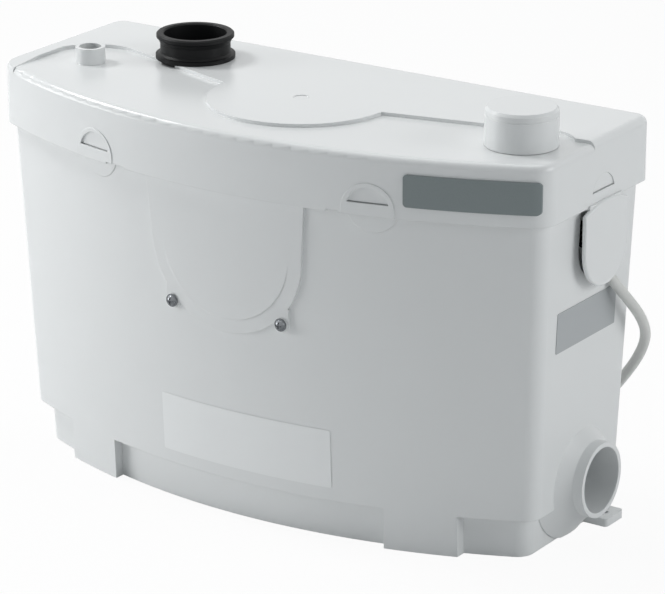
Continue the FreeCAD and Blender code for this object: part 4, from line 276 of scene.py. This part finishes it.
def start_material(name, **shader):
    """A material with one Principled shader and the object's own coordinates."""
    material = bpy.data.materials.new(name)
    material.use_nodes = True
    tree = material.node_tree
    tree.nodes.clear()
    principled = add_node(tree, "ShaderNodeBsdfPrincipled", sockets=shader)
    add_node(tree, "ShaderNodeOutputMaterial", links={"Surface": principled.outputs["BSDF"]})
    place = add_node(tree, "ShaderNodeTexCoord")
    return material, tree, principled, place.outputs["Object"]


def per_metre(millimetres):
    """Texture scale that gives a pattern of this size."""
    return 1.0 / (millimetres * MM)


def vary_colour(tree, principled, factor, dark, light):
    """Base colour between two tones."""
    mix = add_node(tree, "ShaderNodeMix", data_type="RGBA", links={"Factor": factor})
    mix.inputs["A"].default_value = rgba(dark)
    mix.inputs["B"].default_value = rgba(light)
    tree.links.new(mix.outputs["Result"], principled.inputs["Base Color"])


def vary_roughness(tree, principled, factor, low, high):
    """Roughness between two values."""
    spread = add_node(tree, "ShaderNodeMapRange", sockets={"To Min": low, "To Max": high},
                      links={"Value": factor})
    tree.links.new(spread.outputs["Result"], principled.inputs["Roughness"])


def add_bump(tree, principled, height, depth_mm, round_mm=0.0):
    """Fine relief; with a radius given, edges also catch light as if they were rounded."""
    bump = add_node(tree, "ShaderNodeBump", sockets={"Strength": 1.0, "Distance": depth_mm * MM},
                    links={"Height": height})
    if round_mm:
        edge = add_node(tree, "ShaderNodeBevel", sockets={"Radius": round_mm * MM}, samples=BEVEL_SAMPLES)
        tree.links.new(edge.outputs["Normal"], bump.inputs["Normal"])
    tree.links.new(bump.outputs["Normal"], principled.inputs["Normal"])


def shade(colour, share):
    """A colour made darker or lighter by a share."""
    return tuple(c * share for c in colour)


def moulded_plastic(name, colour, roughness, grain_mm, grain_depth_mm, round_mm=0.0):
    """Injection-moulded polymer: an even tone, a fine spark-eroded grain and faint flow clouds."""
    material, tree, principled, place = start_material(name, **{"IOR": 1.5})
    clouds = add_node(tree, "ShaderNodeTexNoise", sockets={"Scale": per_metre(CLOUD_MM), "Detail": 3.0},
                      links={"Vector": place})
    vary_colour(tree, principled, clouds.outputs["Fac"], dark=shade(colour, 0.965), light=shade(colour, 1.02))
    grain = add_node(tree, "ShaderNodeTexNoise", sockets={"Scale": per_metre(grain_mm), "Detail": 4.0},
                     links={"Vector": place})
    vary_roughness(tree, principled, grain.outputs["Fac"], low=roughness - ROUGHNESS_SWAY,
                   high=roughness + ROUGHNESS_SWAY)
    add_bump(tree, principled, grain.outputs["Fac"], grain_depth_mm, round_mm)
    return material


def tank_plastic(colours):
    # Polypropylene, injection moulded: soft satin with the mould's grain, drawn at 0.9 mm so that it shows
    return moulded_plastic("polypropylene_moulded_white", colours.tank, roughness=0.38, grain_mm=0.9,
                           grain_depth_mm=0.02, round_mm=0.7)


def lid_plastic(colours):
    # ABS, injection moulded in a smoother tool: a tighter, brighter highlight than the tank's
    return moulded_plastic("abs_moulded_white", colours.lid, roughness=0.23, grain_mm=0.7,
                           grain_depth_mm=0.004, round_mm=0.5)


def pump_plastic():
    # Glass-filled nylon, moulded: black, dull, with a dry fibrous skin
    return moulded_plastic("nylon_glass_filled_black", linear("#26272A"), roughness=0.55, grain_mm=1.2,
                           grain_depth_mm=0.06)


def fitting_plastic():
    # Polypropylene for pipework, moulded: mid grey and slightly waxy
    return moulded_plastic("polypropylene_moulded_grey", linear("#8B8F92"), roughness=0.38, grain_mm=1.0,
                           grain_depth_mm=0.03)


def plug_plastic(colours):
    # Soft PVC, moulded over the cord's end: the cord's own tone, a little smoother
    return moulded_plastic("pvc_moulded_pale", colours.cord, roughness=0.34, grain_mm=0.8,
                           grain_depth_mm=0.02)


def rubber_compound(colours):
    """EPDM, compression moulded: near black, with a bloom that lightens it in patches."""
    material, tree, principled, place = start_material(
        "epdm_moulded_black", **{"IOR": 1.52, "Specular IOR Level": 0.15})
    bloom = add_node(tree, "ShaderNodeTexNoise", sockets={"Scale": per_metre(18), "Detail": 5.0},
                     links={"Vector": place})
    vary_colour(tree, principled, bloom.outputs["Fac"], dark=shade(colours.rubber, 0.75),
                light=shade(colours.rubber, 1.35))
    skin = add_node(tree, "ShaderNodeTexNoise", sockets={"Scale": per_metre(0.8), "Detail": 3.0},
                    links={"Vector": place})
    vary_roughness(tree, principled, skin.outputs["Fac"], low=0.4, high=0.54)
    add_bump(tree, principled, skin.outputs["Fac"], depth_mm=0.03)
    return material


def filter_foam():
    """Reticulated polyurethane foam with active carbon, cut: black and full of open pores, whose hollows
    carry painted shade.
    """
    material, tree, principled, place = start_material("polyurethane_foam_carbon", **{"Roughness": 0.95})
    pores = add_node(tree, "ShaderNodeTexVoronoi", sockets={"Scale": per_metre(1.6)}, links={"Vector": place})
    # Pores painted near black and struts lighter: painted shade in the hollows, on top of their real relief
    # from the bump
    vary_colour(tree, principled, pores.outputs["Distance"], dark=linear("#050505"), light=linear("#3A3A3C"))
    add_bump(tree, principled, pores.outputs["Distance"], depth_mm=1.0)
    return material


def metal(name, colour, low, high, pattern_mm, depth_mm, stretch=(1, 1, 1)):
    """Bare metal with roughness from low to high, its pattern stretched where a tool drew it out."""
    material, tree, principled, place = start_material(name, **{"Metallic": 1.0})
    run = add_node(tree, "ShaderNodeMapping", sockets={"Scale": stretch}, links={"Vector": place})
    marks = add_node(tree, "ShaderNodeTexNoise", sockets={"Scale": per_metre(pattern_mm), "Detail": 4.0},
                     links={"Vector": run.outputs["Vector"]})
    vary_colour(tree, principled, marks.outputs["Fac"], dark=shade(colour, 0.85), light=shade(colour, 1.08))
    vary_roughness(tree, principled, marks.outputs["Fac"], low, high)
    add_bump(tree, principled, marks.outputs["Fac"], depth_mm)
    return material


def zinc_plate():
    # Steel, zinc plated: slightly blue, with a fine frosted spangle; its base colour is painted darker than
    # bright zinc, painted shade standing in for dark surroundings seen in its reflections
    return metal("steel_zinc_plated", linear("#7C7F82"), low=0.2, high=0.38, pattern_mm=1.5,
                 depth_mm=0.01)


def stainless():
    # Stainless steel, turned or drawn: fine lines round the axis, drawn at 0.6 mm pitch
    return metal("stainless_steel_turned", linear("#C4C5C4"), low=0.2, high=0.38, pattern_mm=0.6,
                 depth_mm=0.01, stretch=(0.1, 0.1, 1.0))


def cast_metal():
    # Aluminium, die cast and shot blasted: matt, with a sandy 0.9 mm skin
    return metal("aluminium_die_cast", linear("#A9ABAD"), low=0.45, high=0.65, pattern_mm=0.9,
                 depth_mm=0.08)


def drawn_can():
    # Aluminium, deep drawn: smooth, with faint vertical draw lines
    return metal("aluminium_deep_drawn", linear("#CDCFD0"), low=0.25, high=0.38, pattern_mm=1.2,
                 depth_mm=0.01, stretch=(1.0, 1.0, 0.05))


def ground_steel():
    # Bearing and core steel, ground: darker, oiled, lines across the axis drawn at 1 mm
    return metal("bearing_steel_ground", linear("#8D8F92"), low=0.22, high=0.42, pattern_mm=1.0,
                 depth_mm=0.02, stretch=(0.05, 0.05, 1.0))


def nickel_plate():
    # Brass, nickel plated: warm, bright and smooth
    return metal("brass_nickel_plated", linear("#CFC9BC"), low=0.14, high=0.24, pattern_mm=1.0,
                 depth_mm=0.004)


def enamelled_wire():
    """Copper wire, enamelled: a clear amber coat over bright copper."""
    material, tree, principled, place = start_material(
        "copper_wire_enamelled", **{"Metallic": 1.0, "Coat Weight": 0.6, "Coat Roughness": 0.15})
    tone = add_node(tree, "ShaderNodeTexNoise", sockets={"Scale": per_metre(6), "Detail": 2.0},
                    links={"Vector": place})
    vary_colour(tree, principled, tone.outputs["Fac"], dark=linear("#8A4A22"), light=linear("#C77B45"))
    vary_roughness(tree, principled, tone.outputs["Fac"], low=0.25, high=0.4)
    return material


def label_film(name, colour, metallic):
    """Polyester film, coated: flat and even, glossier than the plastic under it."""
    material, tree, principled, place = start_material(
        name, **{"IOR": 1.6, "Metallic": metallic, "Roughness": 0.28})
    tone = add_node(tree, "ShaderNodeTexNoise", sockets={"Scale": per_metre(60), "Detail": 2.0},
                    links={"Vector": place})
    vary_colour(tree, principled, tone.outputs["Fac"], dark=shade(colour, 0.985), light=shade(colour, 1.01))
    return material


def nameplate_foil(colours):
    """Aluminium foil, lacquered grey: even, with a soft metallic sheen."""
    material, tree, principled, place = start_material("aluminium_foil_lacquered", **{"Metallic": 0.25})
    tone = add_node(tree, "ShaderNodeTexNoise", sockets={"Scale": per_metre(1.0), "Detail": 3.0},
                    links={"Vector": place})
    vary_colour(tree, principled, tone.outputs["Fac"], dark=shade(colours.nameplate, 0.94),
                light=shade(colours.nameplate, 1.05))
    vary_roughness(tree, principled, tone.outputs["Fac"], low=0.36, high=0.46)
    add_bump(tree, principled, tone.outputs["Fac"], depth_mm=0.008)
    return material


def cord_sheath(colours):
    """Soft PVC, extruded: smooth and slightly greasy, with faint lengthways drag."""
    material, tree, principled, place = start_material("pvc_sheath_extruded", **{"IOR": 1.53})
    drag = add_node(tree, "ShaderNodeTexNoise", sockets={"Scale": per_metre(2.5), "Detail": 3.0},
                    links={"Vector": place})
    vary_colour(tree, principled, drag.outputs["Fac"], dark=shade(colours.cord, 0.94),
                light=shade(colours.cord, 1.02))
    vary_roughness(tree, principled, drag.outputs["Fac"], low=0.36, high=0.5)
    add_bump(tree, principled, drag.outputs["Fac"], depth_mm=0.03)
    return material


def floor_board(colours):
    """Matt painted board; seen by the camera it is nearly white, and it keeps the shadow."""
    material = bpy.data.materials.new("board_painted_matt")
    material.use_nodes = True
    tree = material.node_tree
    tree.nodes.clear()
    paint = add_node(tree, "ShaderNodeBsdfDiffuse", sockets={"Color": rgba(colours.floor)})
    white = add_node(tree, "ShaderNodeEmission", sockets={"Color": WHITE, "Strength": 1.0})
    ray = add_node(tree, "ShaderNodeLightPath")
    seen = add_node(tree, "ShaderNodeMath", sockets={1: FLOOR_WHITENESS}, operation="MULTIPLY",
                    links={0: ray.outputs["Is Camera Ray"]})
    mix = add_node(tree, "ShaderNodeMixShader",
                   links={0: seen.outputs[0], 1: paint.outputs[0], 2: white.outputs[0]})
    add_node(tree, "ShaderNodeOutputMaterial", links={"Surface": mix.outputs[0]})
    return material


FINISHES = {}
SLOT_OF = {part["node"]: part["material_slot"] for part in frame["record"]["subparts"]}


def finish_for(name):
    """The material of a slot, made once and shared."""
    colours = bpy.context.scene.station_colours
    makers = {
        "white_tank": lambda: tank_plastic(colours),
        "white_lid": lambda: lid_plastic(colours),
        "black_rubber": lambda: rubber_compound(colours),
        "carbon_foam": filter_foam,
        "grey_plate": lambda: nameplate_foil(colours),
        "label_film": lambda: label_film("polyester_film_white", colours.label, metallic=0.0),
        "silver_film": lambda: label_film("polyester_film_metallised", colours.rating, metallic=0.35),
        "zinc_steel": zinc_plate,
        "stainless_steel": stainless,
        "bearing_steel": ground_steel,
        "cast_aluminium": cast_metal,
        "can_aluminium": drawn_can,
        "copper_winding": enamelled_wire,
        "black_plastic": pump_plastic,
        "grey_plastic": fitting_plastic,
        "cord_sheath": lambda: cord_sheath(colours),
        "plug_plastic": lambda: plug_plastic(colours),
        "nickel_brass": nickel_plate,
    }
    if name not in FINISHES:
        FINISHES[name] = makers[name]()
    return FINISHES[name]


def dress(*nodes):
    """Gives CAD nodes the finish of their own material slot."""
    for name in nodes:
        piece = frame["nodes"][name]
        piece.data.materials.clear()
        piece.data.materials.append(finish_for(SLOT_OF[name]))
        for polygon in piece.data.polygons:
            polygon.material_index = 0


def new_piece(name, mesh, slot, body):
    """A made piece with its finish, riding on its body."""
    piece = bpy.data.objects.new(name, mesh)
    bpy.context.scene.collection.objects.link(piece)
    piece.data.materials.append(finish_for(slot))
    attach(piece, body)
    return piece


def mesh_from(name, vertices, faces, smooth=True):
    """A mesh whose faces are turned outwards."""
    mesh = bpy.data.meshes.new(name)
    mesh.from_pydata([tuple(v) for v in vertices], [], faces)
    mesh.validate()
    shaped = bmesh.new()
    shaped.from_mesh(mesh)
    bmesh.ops.recalc_face_normals(shaped, faces=shaped.faces)
    shaped.to_mesh(mesh)
    shaped.free()
    if smooth:
        mesh.shade_smooth()
    return mesh


def lathe(name, profile, origin, axis, segments):
    """Surface of revolution: profile is (distance along the axis, radius) pairs."""
    axis = axis.normalized()
    side = axis.orthogonal().normalized()
    other = axis.cross(side)
    vertices = []
    for along, radius in profile:
        for i in range(segments):
            a = 2 * math.pi * i / segments
            vertices.append(origin + axis * along + (side * math.cos(a) + other * math.sin(a)) * radius)
    faces = []
    for row in range(len(profile) - 1):
        low = row * segments
        high = low + segments
        for i in range(segments):
            j = (i + 1) % segments
            faces.append((low + i, low + j, high + j, high + i))
    return mesh_from(name, vertices, faces)


# Pieces
def cord_line():
    """The whole cord's points: down from the gland, round the coil and out to the plug."""
    points = [Vector(p) for p in CORD_ROUTE]
    turns = 2 * COIL_TURNS_IN + COIL_CLIMB_TURNS
    count = int(turns * COIL_POINTS_PER_TURN)
    inner = COIL_OUTER - COIL_STEP * COIL_TURNS_IN
    for i in range(1, count):
        t = turns * i / count
        height = COIL_LOW
        if t <= COIL_TURNS_IN:
            radius = COIL_OUTER - COIL_STEP * t
        elif t <= COIL_TURNS_IN + COIL_CLIMB_TURNS:
            share = (t - COIL_TURNS_IN) / COIL_CLIMB_TURNS
            radius = inner
            height += COIL_LIFT * share * share * (3 - 2 * share)
        else:
            radius = inner + COIL_STEP * (t - COIL_TURNS_IN - COIL_CLIMB_TURNS)
            height += COIL_LIFT
        a = -math.pi / 2 - 2 * math.pi * t
        x = COIL_CENTRE.x + radius * math.cos(a)
        y = COIL_CENTRE.y + radius * math.sin(a)
        points.append(Vector((x, y, height)))
    return points + [Vector(p) for p in TAIL_ROUTE]


def round_curve(name, runs, radius, closed):
    """Round wire along each closed or open run of points."""
    curve = bpy.data.curves.new(name, "CURVE")
    curve.dimensions = "3D"
    curve.bevel_depth = radius
    curve.use_fill_caps = not closed
    for run in runs:
        spline = curve.splines.new("NURBS")
        spline.points.add(len(run) - 1)
        for spot, point in zip(spline.points, run):
            spot.co = (*point, 1.0)
        spline.order_u = SPLINE_ORDER
        spline.use_cyclic_u = closed
        spline.use_endpoint_u = not closed
    return curve


def make_cord(diameter):
    """The cord as one spline, which stands for its three stretches in the CAD."""
    curve = round_curve("supply_cord_line", [cord_line()], diameter / 2, closed=False)
    curve.bevel_resolution = 5
    curve.resolution_u = 8
    cord = new_piece("cord_supply", curve, "cord_sheath", "base")
    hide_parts("supply_cord", "cord_coil", "cord_tail")
    return cord


def make_tie(width):
    """Soft band round the coil's turns, at its left-hand side."""
    inner = COIL_OUTER - COIL_STEP * COIL_TURNS_IN
    half = (COIL_OUTER - inner) / 2 + TIE_ROOM_BESIDE
    tall = COIL_LIFT / 2 + TIE_ROOM_ABOVE
    centre = Vector((COIL_CENTRE.x - (COIL_OUTER + inner) / 2, COIL_CENTRE.y, COIL_LOW + COIL_LIFT / 2))
    outline = []
    for quarter, (sx, sz) in enumerate(((1, 1), (-1, 1), (-1, -1), (1, -1))):
        for i in range(TIE_CORNER_STEPS + 1):
            a = math.radians(90 * quarter + 90 / TIE_CORNER_STEPS * i)
            outline.append((sx * (half - TIE_CORNER) + TIE_CORNER * math.cos(a),
                            sz * (tall - TIE_CORNER) + TIE_CORNER * math.sin(a)))
    vertices = []
    for across in (-1, 1):
        for grow in (0.0, TIE_THICKNESS):
            for x, z in outline:
                share = 1 + grow / math.hypot(x, z)
                vertices.append(centre + Vector((x * share, across * width / 2, z * share)))
    n = len(outline)
    faces = []
    for i in range(n):
        j = (i + 1) % n
        faces.append((i, j, 2 * n + j, 2 * n + i))
        faces.append((n + j, n + i, 3 * n + i, 3 * n + j))
        faces.append((j, i, n + i, n + j))
        faces.append((2 * n + i, 2 * n + j, 3 * n + j, 3 * n + i))
    return new_piece("coil_tie", mesh_from("coil_tie", vertices, faces), "black_rubber", "base")


def fine_wires(name, runs, radius, slot, closed=True):
    """A piece of thin wires, each with few sides."""
    curve = round_curve(name, runs, radius, closed)
    curve.bevel_resolution = 2
    curve.resolution_u = 2
    return new_piece(name, curve, slot, "base")


def around_pump(angle, radius, height):
    """A point at this angle and radius from the pump's axis."""
    return (PUMP_PLACE[0] + radius * math.cos(angle), PUMP_PLACE[1] + radius * math.sin(angle), height)


def winding_wire(layer, row, end, rise):
    """One closed wire of a winding head."""
    wire = []
    for i in range(WINDING_POINTS):
        a = 2 * math.pi * i / WINDING_POINTS
        out = SWAY_OUT * math.sin(SWAYS_OUT * a + LAYER_PHASE_OUT * layer + ROW_PHASE_OUT * row)
        up = SWAY_UP * math.sin(SWAYS_UP * a + LAYER_PHASE_UP * layer + row)
        radius = WINDING_INNER_RADIUS + WINDING_LAYER_STEP * layer + out
        height = WINDING_FIRST_ROW + WINDING_ROW_STEP * row + up
        wire.append(around_pump(a, radius, end + rise * height))
    return wire


def winding_lace(turn, middle):
    """One loop of cord round a winding head's bundle."""
    a = 2 * math.pi * (turn + 0.5) / LACE_TURNS
    lace = []
    for i in range(LACE_POINTS):
        b = 2 * math.pi * i / LACE_POINTS
        lace.append(around_pump(a, LACE_MIDDLE_RADIUS + LACE_REACH_OUT * math.cos(b),
                               middle + LACE_REACH_UP * math.sin(b)))
    return lace


def make_winding_heads():
    """Bundles of enamelled wire above and below the core, laced with cord."""
    wires = []
    laces = []
    for end, rise in WINDING_ENDS:
        for layer in range(WINDING_LAYERS):
            for row in range(WINDING_ROWS):
                wires.append(winding_wire(layer, row, end, rise))
        for turn in range(LACE_TURNS):
            laces.append(winding_lace(turn, end + rise * LACE_MIDDLE_HEIGHT))
    heads = fine_wires("winding_wires", wires, WINDING_WIRE_RADIUS, "copper_winding")
    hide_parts("stator_windings")
    fine_wires("winding_laces", laces, LACE_WIRE_RADIUS, "cord_sheath")


def close_layers(mesh, layers):
    """Joins rings of vertices, one above the other, into a closed skin."""
    for lower, upper in zip(layers, layers[1:]):
        for i in range(len(lower)):
            j = (i + 1) % len(lower)
            mesh.faces.new((lower[i], lower[j], upper[j], upper[i]))
    mesh.faces.new(layers[-1])
    mesh.faces.new(list(reversed(layers[0])))


def slotted_head(name, place, axis, radius, height):
    """Round screw head with a straight slot across it; place is the middle of its underside."""
    place = Vector(place)
    axis = Vector(axis).normalized()
    side = axis.orthogonal().normalized()
    other = axis.cross(side)
    mesh = bmesh.new()
    gap = radius * SLOT_HALF_WIDTH
    start = math.asin(gap / radius)
    rim = [start + (math.pi - 2 * start) * i / HEAD_HALF_STEPS for i in range(HEAD_HALF_STEPS + 1)]
    for sign in (1, -1):
        layers = []
        for rise, share in ((SLOT_FLOOR, 1.0), (HEAD_SHOULDER, 1.0), (1.0, HEAD_CROWN_RADIUS)):
            layer = []
            for a in rim:
                x = radius * share * math.cos(a)
                y = max(radius * share * math.sin(a), gap)
                layer.append(mesh.verts.new(place + axis * (height * rise) + side * x + other * (y * sign)))
            layers.append(layer)
        close_layers(mesh, layers)
    base = []
    for rise in (0.0, HEAD_BASE):
        layer = []
        for i in range(HEAD_SEGMENTS):
            a = 2 * math.pi * i / HEAD_SEGMENTS
            reach = (side * math.cos(a) + other * math.sin(a)) * radius
            layer.append(mesh.verts.new(place + axis * (height * rise) + reach))
        base.append(layer)
    close_layers(mesh, base)
    bmesh.ops.recalc_face_normals(mesh, faces=mesh.faces)
    data = bpy.data.meshes.new(name)
    mesh.to_mesh(data)
    mesh.free()
    return new_piece(name, data, "zinc_steel", "base")


def make_clamp_screws():
    """Slotted worm screws whose heads stand out of the hose clamps' housings."""
    for i, (place, axis) in enumerate(CLAMP_SCREWS):
        slotted_head("clamp_screw_%d" % (i + 1), place, axis, CLAMP_HEAD_RADIUS, CLAMP_HEAD_HEIGHT)


def make_terminal_screws():
    """Slotted screws on top of the terminal block, in a row."""
    x, y, z = TERMINAL_FIRST
    for i in range(TERMINAL_COUNT):
        slotted_head("terminal_screw_%d" % (i + 1), (x + TERMINAL_PITCH * i, y, z), (0, 0, 1),
                     TERMINAL_HEAD_RADIUS, TERMINAL_HEAD_HEIGHT)


def make_return_spring():
    """The plunger's spring, copied from the CAD's spring and riding on the base."""
    node = frame["nodes"]["plunger_spring"]
    mesh = node.data.copy()
    mesh.materials.clear()
    spring = new_piece("return_spring", mesh, SLOT_OF["plunger_spring"], "base")
    spring.matrix_world = node.matrix_world.copy()
    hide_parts("plunger_spring")
    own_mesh(spring)


def make_plug_grip():
    """Rounded ribs along the plug's grip."""
    tip = Vector(TAIL_ROUTE[-1])
    along = tip - Vector(TAIL_ROUTE[-2])
    along.z = 0
    along.normalize()
    across = Vector((-along.y, along.x, 0))
    ribs = []
    for i in range(GRIP_RIBS):
        a = 2 * math.pi * (i + 0.5) / GRIP_RIBS
        out = across * math.cos(a) + Vector((0, 0, 1)) * math.sin(a)
        if out.z >= GRIP_LOWEST:
            ribs.append([tip + along * run + out * reach for run, reach in GRIP_PROFILE])
    return fine_wires("plug_grip_ribs", ribs, GRIP_RIB_RADIUS, "plug_plastic", closed=False)


def make_boot_ribs(count):
    """Raised rings on the cord's strain relief."""
    tip = Vector(CORD_ROUTE[0])
    along = (Vector(CORD_ROUTE[1]) - tip).normalized()
    run = BOOT_LENGTH - BOOT_PLAIN_ENDS
    profile = []
    for i in range(count):
        middle = -BOOT_LENGTH + BOOT_PLAIN_ROOT + run * i / (count - 1)
        radius = BOOT_TIP_RADIUS + BOOT_TAPER * (count - 1 - i) / (count - 1)
        for step in range(BOOT_RIB_STEPS + 1):
            a = math.pi * step / BOOT_RIB_STEPS
            profile.append((middle - BOOT_RIB_HALF_WIDTH * math.cos(a),
                            radius - BOOT_RIB_ROOT + BOOT_RIB_HEIGHT * math.sin(a)))
    mesh = lathe("boot_ribs", profile, tip, along, BOOT_SEGMENTS)
    new_piece("boot_ribs", mesh, "black_rubber", "base")


# Operators
class STATION_OT_shell(bpy.types.Operator):
    """Finish the tank, lid, cap and their rubber and trim"""
    bl_idname = "station.shell"
    bl_label = "Tank and Lid"

    def execute(self, context):
        dress("tank", "lid", "inlet_cap", "lid_gasket", "cap_o_ring", "discharge_sleeve", "vent_filter")
        return {"FINISHED"}


class STATION_OT_labels(bpy.types.Operator):
    """Finish the bare nameplate and the two bare labels"""
    bl_idname = "station.labels"
    bl_label = "Plates and Labels"

    def execute(self, context):
        dress("nameplate", "front_label", "rating_label")
        return {"FINISHED"}


class STATION_OT_fasteners(bpy.types.Operator):
    """Finish screws, washers, nuts, bolts and hose clamps"""
    bl_idname = "station.fasteners"
    bl_label = "Fasteners"

    def execute(self, context):
        dress("front_screws", "front_screw_washers", "front_screw_nuts", "pump_bolts", "impeller_nut",
              "hose_clamps")
        make_clamp_screws()
        return {"FINISHED"}


class STATION_OT_motor(bpy.types.Operator):
    """Finish the motor, its bearings, core, windings and rotor"""
    bl_idname = "station.motor"
    bl_label = "Motor"

    def execute(self, context):
        dress("motor_can", "motor_flange", "motor_end_cap", "stator_core", "stator_windings", "lower_bearing",
              "upper_bearing", "shaft_seal", "shaft", "rotor_core")
        make_winding_heads()
        return {"FINISHED"}


class STATION_OT_pump(bpy.types.Operator):
    """Finish the pump casing, impeller, cutter and feet"""
    bl_idname = "station.pump"
    bl_label = "Pump"

    def execute(self, context):
        dress("volute", "suction_cover", "impeller", "cutter_blade", "cutter_ring", "pump_feet")
        return {"FINISHED"}


class STATION_OT_pipework(bpy.types.Operator):
    """Finish the hose, check valve, riser and the side inlet's flap"""
    bl_idname = "station.pipework"
    bl_label = "Pipework"

    def execute(self, context):
        dress("discharge_elbow", "valve_body", "valve_cover", "valve_pin", "valve_flap", "discharge_riser",
              "inlet_flap", "inlet_flap_pin")
        return {"FINISHED"}


class STATION_OT_switchgear(bpy.types.Operator):
    """Finish the level switch and the electrics box with what it holds"""
    bl_idname = "station.switchgear"
    bl_label = "Level Switch and Electrics"

    def execute(self, context):
        dress("pressure_tube", "membrane_housing", "membrane", "switch_plate", "switch_plunger",
              "plunger_spring", "microswitch", "electrics_box", "electrics_box_cover", "capacitor",
              "terminal_block", "inner_lead")
        make_terminal_screws()
        make_return_spring()
        return {"FINISHED"}


class STATION_OT_cord(bpy.types.Operator):
    """Lay the supply cord with its boot, tie and plug"""
    bl_idname = "station.cord"
    bl_label = "Supply Cord"

    def execute(self, context):
        sizes = context.scene.station_sizes
        dress("cable_gland", "plug_body", "plug_pins")
        cord = make_cord(sizes.cord_diameter)
        make_boot_ribs(sizes.rib_count)
        tie = make_tie(sizes.tie_width)
        grip = make_plug_grip()
        return {"FINISHED"}


class STATION_OT_studio(bpy.types.Operator):
    """Set up the floor, lamps, world and camera"""
    bl_idname = "station.studio"
    bl_label = "Studio"

    def execute(self, context):
        studio = context.scene.station_studio
        colours = context.scene.station_colours
        scene = context.scene
        scene.view_settings.view_transform = "Standard"
        self.floor(scene, floor_board(colours))
        for name, (place, size) in LAMPS.items():
            self.lamp(scene, name + "_lamp", place, size, getattr(studio, name + "_power"))
        self.sky(scene, studio.world_strength)
        self.camera(scene)
        return {"FINISHED"}

    def floor(self, scene, board):
        """Wide board just under the station."""
        half = FLOOR_HALF
        corners = [(-half, -half, 0), (half, -half, 0), (half, half, 0), (-half, half, 0)]
        mesh = mesh_from("floor_board", corners, [(0, 1, 2, 3)], smooth=False)
        floor = bpy.data.objects.new("floor_board", mesh)
        scene.collection.objects.link(floor)
        floor.location.z = -FLOOR_DROP
        floor.data.materials.append(board)

    def lamp(self, scene, name, place, size, power):
        """Square lamp that points at the station."""
        data = bpy.data.lights.new(name, "AREA")
        data.size = size
        data.energy = power
        lamp = bpy.data.objects.new(name, data)
        lamp.location = place
        aim = LAMP_TARGET - Vector(place)
        lamp.rotation_mode = "QUATERNION"
        lamp.rotation_quaternion = aim.to_track_quat("-Z", "Y")
        scene.collection.objects.link(lamp)

    def sky(self, scene, strength):
        """Even, slightly blue light; the camera, reflections and clear pieces see white."""
        world = bpy.data.worlds.new("studio_sky")
        scene.world = world
        world.use_nodes = True
        tree = world.node_tree
        tree.nodes.clear()
        light = add_node(tree, "ShaderNodeBackground", sockets={"Color": SKY_COLOUR, "Strength": strength})
        seen = add_node(tree, "ShaderNodeBackground", sockets={"Color": WHITE, "Strength": 1.0})
        ray = add_node(tree, "ShaderNodeLightPath")
        glossy = add_node(tree, "ShaderNodeMath", operation="MAXIMUM",
                          links={0: ray.outputs["Is Camera Ray"], 1: ray.outputs["Is Glossy Ray"]})
        either = add_node(tree, "ShaderNodeMath", operation="MAXIMUM",
                          links={0: glossy.outputs[0], 1: ray.outputs["Is Transmission Ray"]})
        mix = add_node(tree, "ShaderNodeMixShader",
                       links={0: either.outputs[0], 1: light.outputs[0], 2: seen.outputs[0]})
        add_node(tree, "ShaderNodeOutputWorld", links={"Surface": mix.outputs[0]})

    def camera(self, scene):
        """Camera that stands where the photograph's did."""
        data = bpy.data.cameras.new("photo_camera")
        data.sensor_width = SENSOR
        data.lens = FOCAL_PIXELS / FRAME_WIDTH * SENSOR
        data.clip_end = CAMERA_REACH
        camera = bpy.data.objects.new("photo_camera", data)
        a = math.radians(CAMERA_AZIMUTH)
        e = math.radians(CAMERA_ELEVATION)
        back = Vector((math.sin(a) * math.cos(e), -math.cos(a) * math.cos(e), math.sin(e)))
        camera.location = CAMERA_PLACE
        camera.rotation_mode = "QUATERNION"
        camera.rotation_quaternion = (-back).to_track_quat("-Z", "Y")
        scene.collection.objects.link(camera)
        scene.camera = camera


STEPS = [STATION_OT_shell, STATION_OT_labels, STATION_OT_fasteners, STATION_OT_motor, STATION_OT_pump,
         STATION_OT_pipework, STATION_OT_switchgear, STATION_OT_cord, STATION_OT_studio]


class STATION_PT_panel(bpy.types.Panel):
    """Lists the steps that finish the station"""
    bl_idname = "STATION_PT_panel"
    bl_label = "Lifting Station"
    bl_space_type = "VIEW_3D"
    bl_region_type = "UI"
    bl_category = "Station"

    def draw(self, context):
        for step in STEPS:
            self.layout.operator(step.bl_idname)
        scene = context.scene
        for group in (scene.station_colours, scene.station_sizes, scene.station_studio):
            box = self.layout.box()
            for name in group.bl_rna.properties.keys():
                if name not in ("rna_type", "name"):
                    box.prop(group, name)


CLASSES = [StationColours, StationSizes, StationStudio, *STEPS, STATION_PT_panel]


def register():
    for item in CLASSES:
        bpy.utils.register_class(item)
    bpy.types.Scene.station_colours = bpy.props.PointerProperty(type=StationColours)
    bpy.types.Scene.station_sizes = bpy.props.PointerProperty(type=StationSizes)
    bpy.types.Scene.station_studio = bpy.props.PointerProperty(type=StationStudio)


def unregister():
    del bpy.types.Scene.station_studio
    del bpy.types.Scene.station_sizes
    del bpy.types.Scene.station_colours
    for item in reversed(CLASSES):
        bpy.utils.unregister_class(item)


def main():
    """Dresses the station."""
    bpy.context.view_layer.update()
    register()
    bpy.ops.station.studio()
    bpy.ops.station.cord()
    bpy.ops.station.shell()
    bpy.ops.station.labels()
    bpy.ops.station.fasteners()
    bpy.ops.station.motor()
    bpy.ops.station.pump()
    bpy.ops.station.pipework()
    bpy.ops.station.switchgear()


if __name__ == "__main__":
    main()
